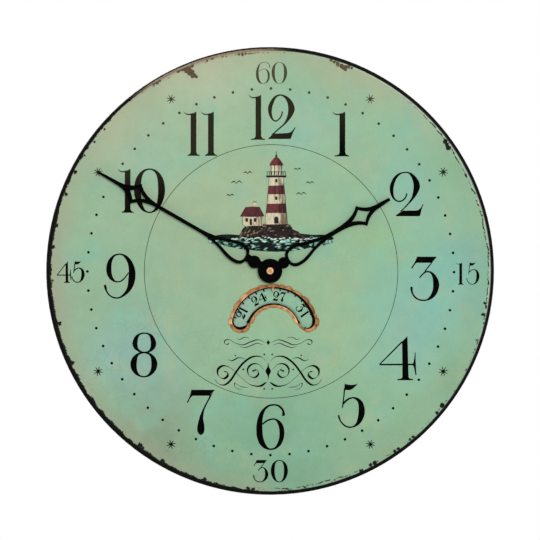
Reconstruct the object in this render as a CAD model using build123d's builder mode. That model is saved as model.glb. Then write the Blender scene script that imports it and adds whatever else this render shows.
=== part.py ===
from build123d import *
import math
import os

# Round wall clock: a painted dial plate on a black board, two pierced hands, and a date disc that
# shows through an arched window. A battery movement stands behind the board, inside a wooden hoop
# that holds the clock off the wall. Lengths are millimetres and angles are degrees.
#
# The wall is the plane Y = 0, the dial faces -Y, and the hands turn about the Y axis. A "depth" is a
# distance from the wall towards the viewer. In the front view x runs to the right and z upwards.

# Board and dial plate
disc_d = 360.0  # across the board
rim_w = 3.0  # black rim left round the dial plate
rim_round = 2.6  # rounding of the board's front edge
back_round = 1.0  # rounding of the board's back edge
floor_t = 3.0  # wood left behind the date work
plate_t = 1.5  # dial plate
plate_round = 0.6  # rounding of the plate's edge
centre_hole_gap = 0.8  # dial plate's hole round the hour tube

# Hoop behind the board
hoop_inset = 15.0  # step in from the board's edge
hoop_w = 26.0  # width of the hoop's section
hoop_round = 1.5

# Wood screws through the hoop
hoop_screws_n = 6
hoop_screw_r = 1.9
hoop_screw_head_r = 3.8
hoop_screw_bite = 5.0  # length in the board
screw_gap = 0.05  # hole larger than its screw
drive_w = 0.9  # width of a screw's slot
drive_deep = 0.7

# Keyhole hanger let into the back of the hoop
hanger_w = 40.0
hanger_h = 21.0
hanger_t = 1.5
hanger_corner = 3.0
hanger_fit = 0.1  # gap round the hanger in its recess
key_entry_r = 4.5  # round entry of the keyhole
key_slot_w = 4.6
key_rise = 8.0  # from the entry's centre to the slot's end
key_room = 1.2  # cavity wider than the entry all round
key_deep = 7.0  # cavity behind the hanger
hanger_screw_r = 1.3
hanger_screw_head_r = 2.5
hanger_screw_x = 15.0
hanger_screw_bite = 8.0

# Date window and its frame
window_x = 3.0  # window's centre, right of the hands' axis
window_r = 27.4  # middle of the arched slot
window_w = 12.4
window_half_sweep = 75.0  # either side of the top
frame_out_w = 3.0  # frame outside the slot
frame_in_w = 2.8  # frame inside the slot
frame_t = 0.9
frame_lap = 0.4  # frame overhangs the plate's cut edge
bump_r = 3.2  # scallops on the frame's outer edge
bump_rise = 0.8
bumps_n = 12
tooth_x = -1.0  # pointer near the top of the window
tooth_w = 2.8
tooth_h = 3.2

# Date disc and its train
disc_margin = 4.0  # date disc reaches past the window
disc_to_axis = 9.8  # date disc's edge short of the hands' axis
disc_t = 0.8
date_gear_t = 1.2
date_pinion_n = 15
first_wheel_n = 31
idler_pinion_n = 10
second_wheel_n = 50
date_gear_n = 60
chain_slack = 1.105  # centres' total length over the direct distance
first_idler_at = 240.0  # direction from the hands' axis
date_post_r = 2.0
idler_post_r = 1.2
post_foot_t = 0.6
post_foot_over = 0.8  # foot wider than its post
date_hub_r = 4.0
idler_hub_over = 0.8
clip_t = 0.4
clip_over = 1.2  # clip wider than its post
clip_gap = 0.1
disc_lift = 1.0  # date disc in front of its gear
gear_layer_gap = 0.8
pinion_gap = 0.4  # date pinion in front of the bush
lid_gap = 0.7  # date disc behind the dial plate
pocket_gap = 1.2  # pocket round what turns in it

# Fits
run_gap = 0.04  # running fit, on the radius
seat_gap = 0.02  # close fit, on the radius

# Gear teeth, in modules and in shares of the pitch
tooth_out = 0.85
tooth_in = 1.25
tip_share = 0.22
root_share = 0.60

# Battery movement
case_wall = 1.6
cover_t = 1.5
cover_gap = 0.1
case_round = 3.0
battery_d = 14.5
battery_l = 50.5
battery_nub_r = 2.75
battery_nub_l = 1.2
battery_gap = 0.2
bay_wall = 1.2
contact_t = 0.4
contact_room = 1.4  # between the battery's end and the case
contact_w = 9.0
boss_r = 1.7  # corner posts for the cover
cover_screw_r = 0.8
cover_screw_head_r = 1.4
cover_screw_bite = 5.0
gasket_t = 1.0
gasket_r = 12.0
bush_r = 4.0
bush_flange_over = 1.2
bush_flange_t = 0.8
bush_end = 0.3  # bush stands out of its nut
washer_t = 0.5
washer_over = 2.2
nut_flats = 11.0
nut_t = 2.0

# Time train
train_module = 0.25
motion_module = 0.36
wheel_t = 0.8
pinion_over = 0.2  # pinion longer than its wheel at each end
end_room = 1.3  # end wheels off the case's walls
rotor_n = 8
step_n = 40
step_pinion_n = 10
fourth_n = 60
fourth_pinion_n = 8
third_n = 64
third_pinion_n = 10
centre_n = 75
cannon_n = 15
minute_n = 45
minute_pinion_n = 12
hour_n = 48
third_at = 150.0  # directions from each axis to the next
fourth_at = 50.0
step_at = 5.0
rotor_at = 30.0
minute_at = -15.0
arbor_r = 0.5
pivot_r = 0.35
pivot_l = 0.9
pivot_end = 0.1  # pivot short of its hole's end
end_shake = 0.15
minute_arbor_r = 0.7
shaft_r = 1.5
tube_wall = 0.96
magnet_r = 2.6
magnet_t = 2.0
magnet_gap = 0.4
stator_t = 1.6
stator_lift = 0.5  # stator in front of the fourth wheel
limb_w = 2.2
limb_edge = 1.0  # metal round the rotor's hole
coil_r = 3.5
coil_l = 13.0
bobbin_t = 0.8
bobbin_wall = 0.6
core_w = 2.2
core_t = 1.6
coil_gap = 0.9  # coil clear of the stator's limb
stake_r = 0.8
stake_shoulder = 0.7
board_w = 11.0  # circuit board
board_h = 10.0
circuit_t = 1.0
crystal_r = 1.0
crystal_l = 6.0
chip_w = 5.0
chip_t = 0.9
train_clear = 0.8  # train clear of the case
knob_r = 4.6
knob_t = 2.6
knob_clear = 0.4
knob_flutes_n = 16
knob_flute_r = 0.45
wall_clear = 1.5  # knob off the wall

# Hands
hour_turn = -59.0  # at rest, anticlockwise from twelve
minute_turn = 60.1
hand_t = 0.8
hub_r = 9.8
hour_lift = 2.6  # hour hand off the dial
hands_gap = 2.0
tube_end = 0.5  # hour tube stands out of the hour hand
collet_t = 1.2
collet_over = 1.1
hand_nut_r = 2.95
hand_nut_t = 2.0
hand_nut_round = 0.7
shaft_end = 0.5  # shaft stands out of the hand nut

# Hour hand, measured along it from the axis
hour_bead = 12.7
hour_bead_r = 4.6
hour_neck = 3.0  # half the width of the necks
hour_loop_from = 15.8
hour_loop_wide = 24.5
hour_loop_half = 8.5
hour_loop_mid = 38.0
hour_loop_mid_half = 5.0
hour_loop_to = 61.0
hour_eye_from = 18.0
hour_eye_half = 5.8
hour_eye_mid_half = 2.4
hour_eye_to = 48.0
hour_stem = 1.85  # half the width of the stem
hour_point_from = 63.0
hour_barb = 85.7
hour_barb_half = 9.2
hour_point_to = 102.0
hour_hole_from = 76.6
hour_hole_half = 5.6
hour_hole_to = 93.4
hour_tip = 112.0
hour_tip_half = 1.2

# Minute hand
minute_bead = 14.6
minute_bead_r = 5.1
minute_neck = 3.2
minute_loop_from = 20.8
minute_loop_wide = 29.5
minute_loop_half = 8.6
minute_loop_mid = 43.0
minute_loop_mid_half = 5.2
minute_loop_to = 66.0
minute_eye_from = 23.0
minute_eye_half = 5.7
minute_eye_mid_half = 2.5
minute_eye_to = 54.0
minute_stem = 1.48
minute_point_from = 103.0
minute_barb = 124.0
minute_barb_half = 9.2
minute_point_to = 142.0
minute_hole_from = 115.3
minute_hole_half = 5.2
minute_hole_to = 130.0
minute_tip = 159.0
minute_tip_half = 0.95

FROM_BASE = (Align.CENTER, Align.CENTER, Align.MIN)
FROM_TOP = (Align.CENTER, Align.CENTER, Align.MAX)


def spot(depth, axis=(0.0, 0.0), turn=0.0):
    """Plane parallel to the dial, facing the viewer, with its origin on an axis."""
    along = (math.cos(math.radians(turn)), 0, math.sin(math.radians(turn)))
    return Plane(origin=(axis[0], -depth, axis[1]), x_dir=along, z_dir=(0, -1, 0))


def rear_spot(depth, axis=(0.0, 0.0)):
    """Plane parallel to the dial, facing the wall."""
    return Plane(origin=(axis[0], -depth, axis[1]), x_dir=(-1, 0, 0), z_dir=(0, 1, 0))


def post(start, end, axis, radius, mode=Mode.ADD):
    """Round bar on an axis, from one depth to another, in the part being built."""
    with Locations(spot(start, axis)):
        Cylinder(radius, end - start, align=FROM_BASE, mode=mode)


def arch(depth, middle, width):
    """Arched slot with round ends about the date disc's axis."""
    start = math.radians(90 - window_half_sweep)
    reach = middle * math.cos(start) + width / 2 * math.sin(start)
    level = middle * math.sin(start) - width / 2 * math.cos(start)
    with BuildSketch(spot(depth, date_axis)) as slot:
        with BuildLine():
            outer = CenterArc((0, 0), middle + width / 2, 90 - window_half_sweep, 2 * window_half_sweep)
            inner = CenterArc((0, 0), middle - width / 2, 90 - window_half_sweep, 2 * window_half_sweep)
            ThreePointArc(outer @ 0, (reach, level), inner @ 0)
            ThreePointArc(outer @ 1, (-reach, level), inner @ 1)
        make_face()
    return slot.sketch


def step_from(axis, direction, distance):
    """Point at a distance from an axis in a direction."""
    angle = math.radians(direction)
    return (axis[0] + distance * math.cos(angle), axis[1] + distance * math.sin(angle))


def direction_of(start, end):
    """Direction from one axis to another."""
    return math.degrees(math.atan2(end[1] - start[1], end[0] - start[0]))


def tip_radius(teeth, module):
    """Radius over a gear's teeth."""
    return module * (teeth / 2 + tooth_out)


def gear(start, thick, axis, teeth, module, phase):
    """Gear with straight-sided teeth, one of them pointing along phase."""
    pitch = 2 * math.pi / teeth
    low = module * (teeth / 2 - tooth_in)
    high = tip_radius(teeth, module)
    outline = []
    for tooth in range(teeth):
        middle = math.radians(phase) + tooth * pitch
        for radius, share in ((low, -root_share), (high, -tip_share), (high, tip_share), (low, root_share)):
            angle = middle + share * pitch / 2
            outline.append((radius * math.cos(angle), radius * math.sin(angle)))
    with BuildSketch(spot(start, axis)) as teeth_sketch:
        Polygon(*outline, align=None)
    extrude(teeth_sketch.sketch, amount=thick)


def mesh(teeth, phase, axis, next_teeth, next_axis):
    """Phase of the next gear that puts its gaps on this gear's teeth."""
    line = direction_of(axis, next_axis)
    past = ((line - phase) * teeth / 360) % 1
    return line + 180 - (0.5 - past) * 360 / next_teeth


def flat_screw(depth, axis, radius, head_r, length):
    """Countersunk screw with a slotted head, driven from the wall's side."""
    with Locations(rear_spot(depth, axis)):
        Cone(radius, head_r, head_r - radius, align=FROM_TOP)
        Cylinder(radius, length, align=FROM_TOP)
        Box(2 * head_r, drive_w, drive_deep, align=FROM_TOP, mode=Mode.SUBTRACT)


def pivots(axis):
    """Arbor between the case's front wall and its cover, with a pivot at each end."""
    post(cover_front + end_shake, wall_back - end_shake, axis, arbor_r)
    post(cover_front - pivot_l, wall_back + pivot_l, axis, pivot_r)


# Depths, from the wall to the hand nut
hoop_back = 0.0
knob_back = hoop_back + wall_clear
case_back = knob_back + knob_t + knob_clear
cover_front = case_back + cover_t
wall_back = case_back + battery_d + 2 * battery_gap
case_front = wall_back + case_wall
board_back = case_front + gasket_t
hoop_depth = board_back - hoop_back
floor_front = board_back + floor_t
washer_front = floor_front + washer_t
nut_front = washer_front + nut_t
bush_front = nut_front + bush_end
date_layer_front = bush_front + pinion_gap
date_layer_back = date_layer_front - date_gear_t - gear_layer_gap
date_disc_back = date_layer_front + date_gear_t + disc_lift
date_disc_front = date_disc_back + disc_t
board_front = date_disc_front + lid_gap
plate_front = board_front + plate_t
hour_back = plate_front + hour_lift
hour_front = hour_back + hand_t
minute_back = hour_front + hands_gap
minute_front = minute_back + hand_t
hand_nut_front = minute_front + hand_nut_t
tube_front = hour_front + tube_end
shaft_front = hand_nut_front + shaft_end

# Six layers of wheels share the depth of the case
layer_pitch = (wall_back - cover_front - 2 * end_room - wheel_t) / 5
step_layer, fourth_layer, third_layer, centre_layer, cannon_layer, hour_layer = (
    cover_front + end_room + index * layer_pitch for index in range(6)
)
stator_back = fourth_layer + wheel_t + stator_lift
stator_front = stator_back + stator_t
rotor_mid = stator_back + stator_t / 2
coil_depth = stator_front + core_t / 2

# Axes of the time train in the front view
hands_axis = (0.0, 0.0)
third_axis = step_from(hands_axis, third_at, train_module * (third_pinion_n + centre_n) / 2)
fourth_axis = step_from(third_axis, fourth_at, train_module * (fourth_pinion_n + third_n) / 2)
step_axis = step_from(fourth_axis, step_at, train_module * (step_pinion_n + fourth_n) / 2)
rotor_axis = step_from(step_axis, rotor_at, train_module * (rotor_n + step_n) / 2)
minute_axis = step_from(hands_axis, minute_at, motion_module * (cannon_n + minute_n) / 2)

# Tube, bush and the radii that follow from them
tube_bore = shaft_r + run_gap
tube_r = tube_bore + tube_wall
bush_bore = tube_r + run_gap
nut_r = nut_flats / math.sqrt(3)

flange_r = bush_r + bush_flange_over
pinion_t = wheel_t + 2 * pinion_over

# Coil beside the rotor, and the case round the whole movement
limb_half = magnet_r + magnet_gap + limb_edge
coil_x = rotor_axis[0] + limb_half + coil_gap + coil_r + bobbin_t
coil_low = rotor_axis[1] - coil_l / 2
coil_high = rotor_axis[1] + coil_l / 2
lowest_tooth = max(
    tip_radius(hour_n, motion_module), tip_radius(minute_n, motion_module) - minute_axis[1]
)
bay_top = -(lowest_tooth + train_clear)
battery_z = bay_top - bay_wall - battery_gap - battery_d / 2
case_low = battery_z - battery_d / 2 - battery_gap - case_wall
case_high = coil_high + limb_w + train_clear + case_wall
battery_half = battery_l / 2 + contact_room
case_half = case_wall + max(battery_half, coil_x + coil_r + bobbin_t + train_clear)
case_mid = (case_low + case_high) / 2
bay_half = case_half - case_wall
battery_depth = case_back + battery_gap + battery_d / 2
limb_reach = coil_x + core_w / 2 - rotor_axis[0]
bobbin_r = math.hypot(core_w, core_t) / 2 + bobbin_wall
circuit_x = -(bay_half - 2 * boss_r - train_clear - board_w / 2)
circuit_z = case_high - case_wall - train_clear - board_h / 2
boss_x = case_half - case_wall - boss_r
boss_high = case_high - case_wall - boss_r
boss_low = bay_top + boss_r
bosses = [(-boss_x, boss_high), (boss_x, boss_high), (-boss_x, boss_low), (boss_x, boss_low)]
stakes = [
    (rotor_axis[0], coil_low - limb_w / 2),
    (rotor_axis[0], coil_high + limb_w / 2),
]

# Axes of the date train
date_disc_r = window_r + window_w / 2 + disc_margin
date_axis = (window_x, -(date_disc_r + disc_to_axis))
half_teeth = (
    date_pinion_n + first_wheel_n + idler_pinion_n + second_wheel_n + idler_pinion_n + date_gear_n
) / 2
date_module = chain_slack * math.hypot(*date_axis) / half_teeth
first_axis = step_from(hands_axis, first_idler_at, date_module * (date_pinion_n + first_wheel_n) / 2)
second_reach = date_module * (idler_pinion_n + second_wheel_n) / 2
date_reach = date_module * (idler_pinion_n + date_gear_n) / 2
span = math.dist(first_axis, date_axis)
lean = math.degrees(math.acos((span**2 + second_reach**2 - date_reach**2) / (2 * span * second_reach)))
second_axis = step_from(first_axis, direction_of(first_axis, date_axis) - lean, second_reach)

foot_front = floor_front + post_foot_t
idler_top = date_layer_front + date_gear_t

# Phases that put teeth into gaps at rest
third_pinion_phase = mesh(centre_n, 0, hands_axis, third_pinion_n, third_axis)
fourth_pinion_phase = mesh(third_n, 0, third_axis, fourth_pinion_n, fourth_axis)
step_pinion_phase = mesh(fourth_n, 0, fourth_axis, step_pinion_n, step_axis)
rotor_phase = mesh(step_n, 0, step_axis, rotor_n, rotor_axis)
minute_phase = mesh(cannon_n, 0, hands_axis, minute_n, minute_axis)
hour_phase = mesh(minute_pinion_n, 0, minute_axis, hour_n, hands_axis)
first_phase = mesh(date_pinion_n, 0, hands_axis, first_wheel_n, first_axis)
second_phase = mesh(idler_pinion_n, 0, first_axis, second_wheel_n, second_axis)
date_phase = mesh(idler_pinion_n, 0, second_axis, date_gear_n, date_axis)

# Radii and heights of the board, the hoop and the hanger
plate_r = disc_d / 2 - rim_w
hoop_r = disc_d / 2 - hoop_inset
hoop_mid = hoop_r - hoop_w / 2
key_cavity_w = 2 * (key_entry_r + key_room)
hanger_places = [(-hanger_screw_x, hoop_mid), (hanger_screw_x, hoop_mid)]
hoop_screw_places = [
    step_from((0.0, 0.0), index * 360 / hoop_screws_n, hoop_mid) for index in range(hoop_screws_n)
]
window_out = window_r + window_w / 2

# Black board with a pocket for the date work
with BuildPart() as dial_board:
    with BuildSketch(spot(board_back)):
        Circle(disc_d / 2)
    extrude(amount=board_front - board_back)
    fillet(dial_board.faces().sort_by(Axis.Y)[0].edges(), rim_round)
    fillet(dial_board.faces().sort_by(Axis.Y)[-1].edges(), back_round)
    with BuildSketch(spot(floor_front)):
        with Locations(hands_axis):
            Circle(nut_r + pocket_gap)
        with Locations(first_axis):
            Circle(tip_radius(first_wheel_n, date_module) + pocket_gap)
        with Locations(date_axis):
            Circle(date_disc_r + pocket_gap)
    extrude(amount=board_front - floor_front, mode=Mode.SUBTRACT)
    with Locations(spot(floor_front)):
        Hole(bush_r + seat_gap, depth=floor_t)
    with Locations(spot(floor_front, date_axis)):
        Hole(date_post_r + seat_gap, depth=floor_t)
    with Locations(spot(floor_front, first_axis), spot(floor_front, second_axis)):
        Hole(idler_post_r + seat_gap, depth=floor_t)
    with Locations(*[rear_spot(board_back, place) for place in hoop_screw_places]):
        Hole(hoop_screw_r + seat_gap, depth=hoop_screw_bite + seat_gap)
dial_board.part.label = "dial_board"

# Dial plate with the arched window and the hole for the hands
with BuildPart() as dial_plate:
    with BuildSketch(spot(board_front)):
        Circle(plate_r)
    extrude(amount=plate_t)
    fillet(dial_plate.faces().sort_by(Axis.Y)[0].edges(), plate_round)
    extrude(arch(board_front, window_r, window_w + 2 * frame_lap), amount=plate_t, mode=Mode.SUBTRACT)
    with Locations(spot(plate_front)):
        Hole(tube_r + centre_hole_gap, depth=plate_t)
dial_plate.part.label = "dial_plate"

# Copper frame of the window, scalloped outside, with a pointer at the top
with BuildPart() as date_frame:
    frame_middle = window_r + (frame_out_w - frame_in_w) / 2
    extrude(arch(plate_front, frame_middle, window_w + frame_out_w + frame_in_w), amount=frame_t)
    with BuildSketch(spot(plate_front, date_axis)):
        with PolarLocations(
            window_out + frame_out_w + bump_rise - bump_r,
            bumps_n,
            start_angle=90 - window_half_sweep,
            angular_range=2 * window_half_sweep,
            endpoint=True,
        ):
            Circle(bump_r)
    extrude(amount=frame_t)
    extrude(arch(plate_front, window_r, window_w), amount=frame_t, mode=Mode.SUBTRACT)
    with BuildSketch(spot(plate_front, date_axis)):
        Polygon(
            (tooth_x - tooth_w / 2, window_out + frame_lap),
            (tooth_x, window_out - tooth_h),
            (tooth_x + tooth_w / 2, window_out + frame_lap),
            align=None,
        )
    extrude(amount=frame_t)
date_frame.part.label = "date_frame"

# Wooden hoop, with a recess and a cavity for the hanger at the top
with BuildPart() as rear_hoop:
    with BuildSketch(spot(hoop_back)):
        Circle(hoop_r)
        Circle(hoop_r - hoop_w, mode=Mode.SUBTRACT)
    extrude(amount=hoop_depth)
    fillet(rear_hoop.faces().sort_by(Axis.Y)[-1].edges(), hoop_round)
    with BuildSketch(spot(hoop_back, (0, hoop_mid))):
        RectangleRounded(hanger_w + 2 * hanger_fit, hanger_h + 2 * hanger_fit, hanger_corner + hanger_fit)
    extrude(amount=hanger_t, mode=Mode.SUBTRACT)
    with BuildSketch(spot(hoop_back + hanger_t, (0, hoop_mid))):
        SlotCenterToCenter(key_rise, key_cavity_w, rotation=90)
    extrude(amount=key_deep, mode=Mode.SUBTRACT)
    with Locations(*[rear_spot(hoop_back + hanger_t, place) for place in hanger_places]):
        Hole(hanger_screw_r + seat_gap, depth=hanger_screw_bite + seat_gap)
    with Locations(*[rear_spot(hoop_back, place) for place in hoop_screw_places]):
        CounterSinkHole(hoop_screw_r + screw_gap, hoop_screw_head_r + screw_gap, depth=hoop_depth)
rear_hoop.part.label = "rear_hoop"

# Screws that hold the board to the hoop
with BuildPart() as hoop_screws:
    for place in hoop_screw_places:
        flat_screw(hoop_back, place, hoop_screw_r, hoop_screw_head_r, hoop_depth + hoop_screw_bite)
hoop_screws.part.label = "hoop_screws"

# Keyhole hanger, flush with the back of the hoop
with BuildPart() as keyhole_hanger:
    with BuildSketch(spot(hoop_back, (0, hoop_mid))):
        RectangleRounded(hanger_w, hanger_h, hanger_corner)
        SlotCenterToCenter(key_rise, key_slot_w, rotation=90, mode=Mode.SUBTRACT)
        with Locations((0, -key_rise / 2)):
            Circle(key_entry_r, mode=Mode.SUBTRACT)
    extrude(amount=hanger_t)
    with Locations(*[rear_spot(hoop_back, place) for place in hanger_places]):
        CounterSinkHole(hanger_screw_r + screw_gap, hanger_screw_head_r + screw_gap, depth=hanger_t)
keyhole_hanger.part.label = "keyhole_hanger"

with BuildPart() as hanger_screws:
    for place in hanger_places:
        flat_screw(hoop_back, place, hanger_screw_r, hanger_screw_head_r, hanger_t + hanger_screw_bite)
hanger_screws.part.label = "hanger_screws"

# Movement: case with its bay for the cell, posts for the cover and stakes for the stator
with BuildPart() as movement_case:
    with BuildSketch(spot(case_back, (0, case_mid))):
        RectangleRounded(2 * case_half, case_high - case_low, case_round)
    extrude(amount=case_front - case_back)
    with BuildSketch(spot(case_back, (0, case_mid))):
        RectangleRounded(2 * bay_half, case_high - case_low - 2 * case_wall, case_round - case_wall)
    extrude(amount=wall_back - case_back, mode=Mode.SUBTRACT)
    with BuildSketch(spot(case_back, (0, bay_top - bay_wall / 2))):
        Rectangle(2 * bay_half, bay_wall)
    extrude(amount=wall_back - case_back)
    for place in bosses:
        post(cover_front, wall_back, place, boss_r)
        post(cover_front, cover_front + cover_screw_bite, place, cover_screw_r + seat_gap, Mode.SUBTRACT)
    for place in stakes:
        post(stator_front, wall_back, place, stake_r + stake_shoulder)
        post(stator_back, stator_front, place, stake_r)
    for axis in (third_axis, fourth_axis, step_axis, rotor_axis, minute_axis):
        post(wall_back, wall_back + pivot_l + pivot_end, axis, pivot_r + run_gap, Mode.SUBTRACT)
    post(wall_back, wall_back + bush_flange_t, hands_axis, flange_r + seat_gap, Mode.SUBTRACT)
    post(wall_back, case_front, hands_axis, bush_r + seat_gap, Mode.SUBTRACT)
movement_case.part.label = "movement_case"

with BuildPart() as movement_cover:
    with BuildSketch(spot(case_back, (0, (bay_top + case_high - case_wall) / 2))):
        RectangleRounded(
            2 * (bay_half - cover_gap),
            case_high - case_wall - bay_top - 2 * cover_gap,
            case_round - case_wall,
        )
    extrude(amount=cover_t)
    for axis in (hands_axis, third_axis, fourth_axis, step_axis, rotor_axis):
        post(cover_front - pivot_l - pivot_end, cover_front, axis, pivot_r + run_gap, Mode.SUBTRACT)
    post(case_back, cover_front, minute_axis, minute_arbor_r + run_gap, Mode.SUBTRACT)
    with Locations(*[rear_spot(case_back, place) for place in bosses]):
        CounterSinkHole(cover_screw_r + screw_gap, cover_screw_head_r + screw_gap, depth=cover_t)
movement_cover.part.label = "movement_cover"

with BuildPart() as cover_screws:
    for place in bosses:
        length = cover_t + cover_screw_bite - pivot_end
        flat_screw(case_back, place, cover_screw_r, cover_screw_head_r, length)
cover_screws.part.label = "cover_screws"

# Fixing of the movement: rubber gasket behind the board, bush through it, washer and nut in front
with BuildPart() as rubber_gasket:
    post(case_front, board_back, hands_axis, gasket_r)
    post(case_front, board_back, hands_axis, bush_r + screw_gap, Mode.SUBTRACT)
rubber_gasket.part.label = "rubber_gasket"

with BuildPart() as threaded_bush:
    post(wall_back, wall_back + bush_flange_t, hands_axis, flange_r)
    post(wall_back, bush_front, hands_axis, bush_r)
    post(wall_back, bush_front, hands_axis, bush_bore, Mode.SUBTRACT)
threaded_bush.part.label = "threaded_bush"

with BuildPart() as bush_washer:
    post(floor_front, washer_front, hands_axis, bush_r + washer_over)
    post(floor_front, washer_front, hands_axis, bush_r + screw_gap, Mode.SUBTRACT)
bush_washer.part.label = "bush_washer"

with BuildPart() as bush_nut:
    with BuildSketch(spot(washer_front)):
        RegularPolygon(nut_r, 6)
        Circle(bush_r + seat_gap, mode=Mode.SUBTRACT)
    extrude(amount=nut_t)
bush_nut.part.label = "bush_nut"

# Stepping motor: stator plate, coil core, bobbin, winding and rotor
with BuildPart() as stator:
    with BuildSketch(spot(stator_back)):
        with Locations(rotor_axis):
            Rectangle(2 * limb_half, coil_l + 2 * limb_w)
        for level in (coil_low - limb_w / 2, coil_high + limb_w / 2):
            with Locations((rotor_axis[0], level)):
                Rectangle(limb_reach, limb_w, align=(Align.MIN, Align.CENTER))
        with Locations(rotor_axis):
            Circle(magnet_r + magnet_gap, mode=Mode.SUBTRACT)
        with Locations(*stakes):
            Circle(stake_r + seat_gap, mode=Mode.SUBTRACT)
    extrude(amount=stator_t)
stator.part.label = "stator"

with BuildPart() as coil_core:
    with BuildSketch(spot(stator_front, (coil_x, rotor_axis[1]))):
        Rectangle(core_w, coil_l + 2 * limb_w)
    extrude(amount=core_t)
coil_core.part.label = "coil_core"

with BuildPart() as coil_bobbin:
    with BuildSketch(Plane.XY.offset(coil_low)):
        with Locations((coil_x, -coil_depth)):
            Circle(bobbin_r)
    extrude(amount=coil_l)
    for level in (coil_low, coil_high - bobbin_t):
        with BuildSketch(Plane.XY.offset(level)):
            with Locations((coil_x, -coil_depth)):
                Circle(coil_r + bobbin_t)
        extrude(amount=bobbin_t)
    with BuildSketch(Plane.XY.offset(coil_low)):
        with Locations((coil_x, -coil_depth)):
            Rectangle(core_w + 2 * seat_gap, core_t + 2 * seat_gap)
    extrude(amount=coil_l, mode=Mode.SUBTRACT)
coil_bobbin.part.label = "coil_bobbin"

with BuildPart() as coil_winding:
    with BuildSketch(Plane.XY.offset(coil_low + bobbin_t)):
        with Locations((coil_x, -coil_depth)):
            Circle(coil_r)
            Circle(bobbin_r + seat_gap, mode=Mode.SUBTRACT)
    extrude(amount=coil_l - 2 * bobbin_t)
coil_winding.part.label = "coil_winding"

with BuildPart() as rotor:
    pivots(rotor_axis)
    post(rotor_mid - magnet_t / 2, rotor_mid + magnet_t / 2, rotor_axis, magnet_r)
    gear(step_layer - pinion_over, pinion_t, rotor_axis, rotor_n, train_module, rotor_phase)
rotor.part.label = "rotor"

# Circuit board on the case's front wall, with its chip and crystal can
with BuildPart() as circuit_board:
    with BuildSketch(spot(wall_back - circuit_t, (circuit_x, circuit_z))):
        Rectangle(board_w, board_h)
    extrude(amount=circuit_t)
    with BuildSketch(spot(wall_back - circuit_t - chip_t, (circuit_x, circuit_z - board_h / 4))):
        Rectangle(chip_w, board_h / 3)
    extrude(amount=chip_t)
circuit_board.part.label = "circuit_board"

with BuildPart() as crystal_can:
    with BuildSketch(Plane.YZ.offset(circuit_x - crystal_l / 2)):
        with Locations((-(wall_back - circuit_t - crystal_r), circuit_z + board_h / 4)):
            Circle(crystal_r)
    extrude(amount=crystal_l)
crystal_can.part.label = "crystal_can"

# Cell and its contacts
with BuildPart() as battery:
    with BuildSketch(Plane.YZ.offset(-battery_l / 2)):
        with Locations((-battery_depth, battery_z)):
            Circle(battery_d / 2)
    extrude(amount=battery_l - battery_nub_l)
    with BuildSketch(Plane.YZ.offset(battery_l / 2 - battery_nub_l)):
        with Locations((-battery_depth, battery_z)):
            Circle(battery_nub_r)
    extrude(amount=battery_nub_l)
battery.part.label = "battery"

with BuildPart() as contact_plus:
    with BuildSketch(Plane.YZ.offset(bay_half - contact_t)):
        with Locations((-battery_depth, battery_z)):
            Rectangle(contact_w, contact_w)
    extrude(amount=contact_t)
    with BuildSketch(Plane.YZ.offset(battery_l / 2)):
        with Locations((-battery_depth, battery_z)):
            Circle(battery_nub_r)
    extrude(amount=bay_half - battery_l / 2)
contact_plus.part.label = "contact_plus"

with BuildPart() as contact_minus:
    with BuildSketch(Plane.YZ.offset(-bay_half)):
        with Locations((-battery_depth, battery_z)):
            Rectangle(contact_w, contact_w)
    extrude(amount=contact_t)
    with BuildSketch(Plane.YZ.offset(-bay_half)):
        with Locations((-battery_depth, battery_z)):
            Rectangle(contact_w / 3, contact_w)
    extrude(amount=bay_half - battery_l / 2)
contact_minus.part.label = "contact_minus"

# Wheels of the time train, from the rotor to the hands
with BuildPart() as step_wheel:
    pivots(step_axis)
    gear(step_layer, wheel_t, step_axis, step_n, train_module, 0)
    gear(fourth_layer - pinion_over, pinion_t, step_axis, step_pinion_n, train_module, step_pinion_phase)
step_wheel.part.label = "step_wheel"

with BuildPart() as fourth_wheel:
    pivots(fourth_axis)
    gear(fourth_layer, wheel_t, fourth_axis, fourth_n, train_module, 0)
    pinion_back = third_layer - pinion_over
    gear(pinion_back, pinion_t, fourth_axis, fourth_pinion_n, train_module, fourth_pinion_phase)
fourth_wheel.part.label = "fourth_wheel"

with BuildPart() as third_wheel:
    pivots(third_axis)
    gear(third_layer, wheel_t, third_axis, third_n, train_module, 0)
    gear(centre_layer - pinion_over, pinion_t, third_axis, third_pinion_n, train_module, third_pinion_phase)
third_wheel.part.label = "third_wheel"

with BuildPart() as centre_wheel:
    post(cover_front - pivot_l, centre_layer, hands_axis, pivot_r)
    post(cover_front + end_shake, centre_layer, hands_axis, minute_arbor_r)
    post(centre_layer, shaft_front, hands_axis, shaft_r)
    gear(centre_layer, wheel_t, hands_axis, centre_n, train_module, 0)
    gear(cannon_layer - pinion_over, pinion_t, hands_axis, cannon_n, motion_module, 0)
    fillet(centre_wheel.faces().sort_by(Axis.Y)[0].edges(), shaft_end)
centre_wheel.part.label = "centre_wheel"

with BuildPart() as minute_wheel:
    post(knob_back + knob_t / 2, wall_back - end_shake, minute_axis, minute_arbor_r)
    post(wall_back - end_shake, wall_back + pivot_l, minute_axis, pivot_r)
    gear(cannon_layer, wheel_t, minute_axis, minute_n, motion_module, minute_phase)
    gear(hour_layer - pinion_over, pinion_t, minute_axis, minute_pinion_n, motion_module, 0)
minute_wheel.part.label = "minute_wheel"

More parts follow.
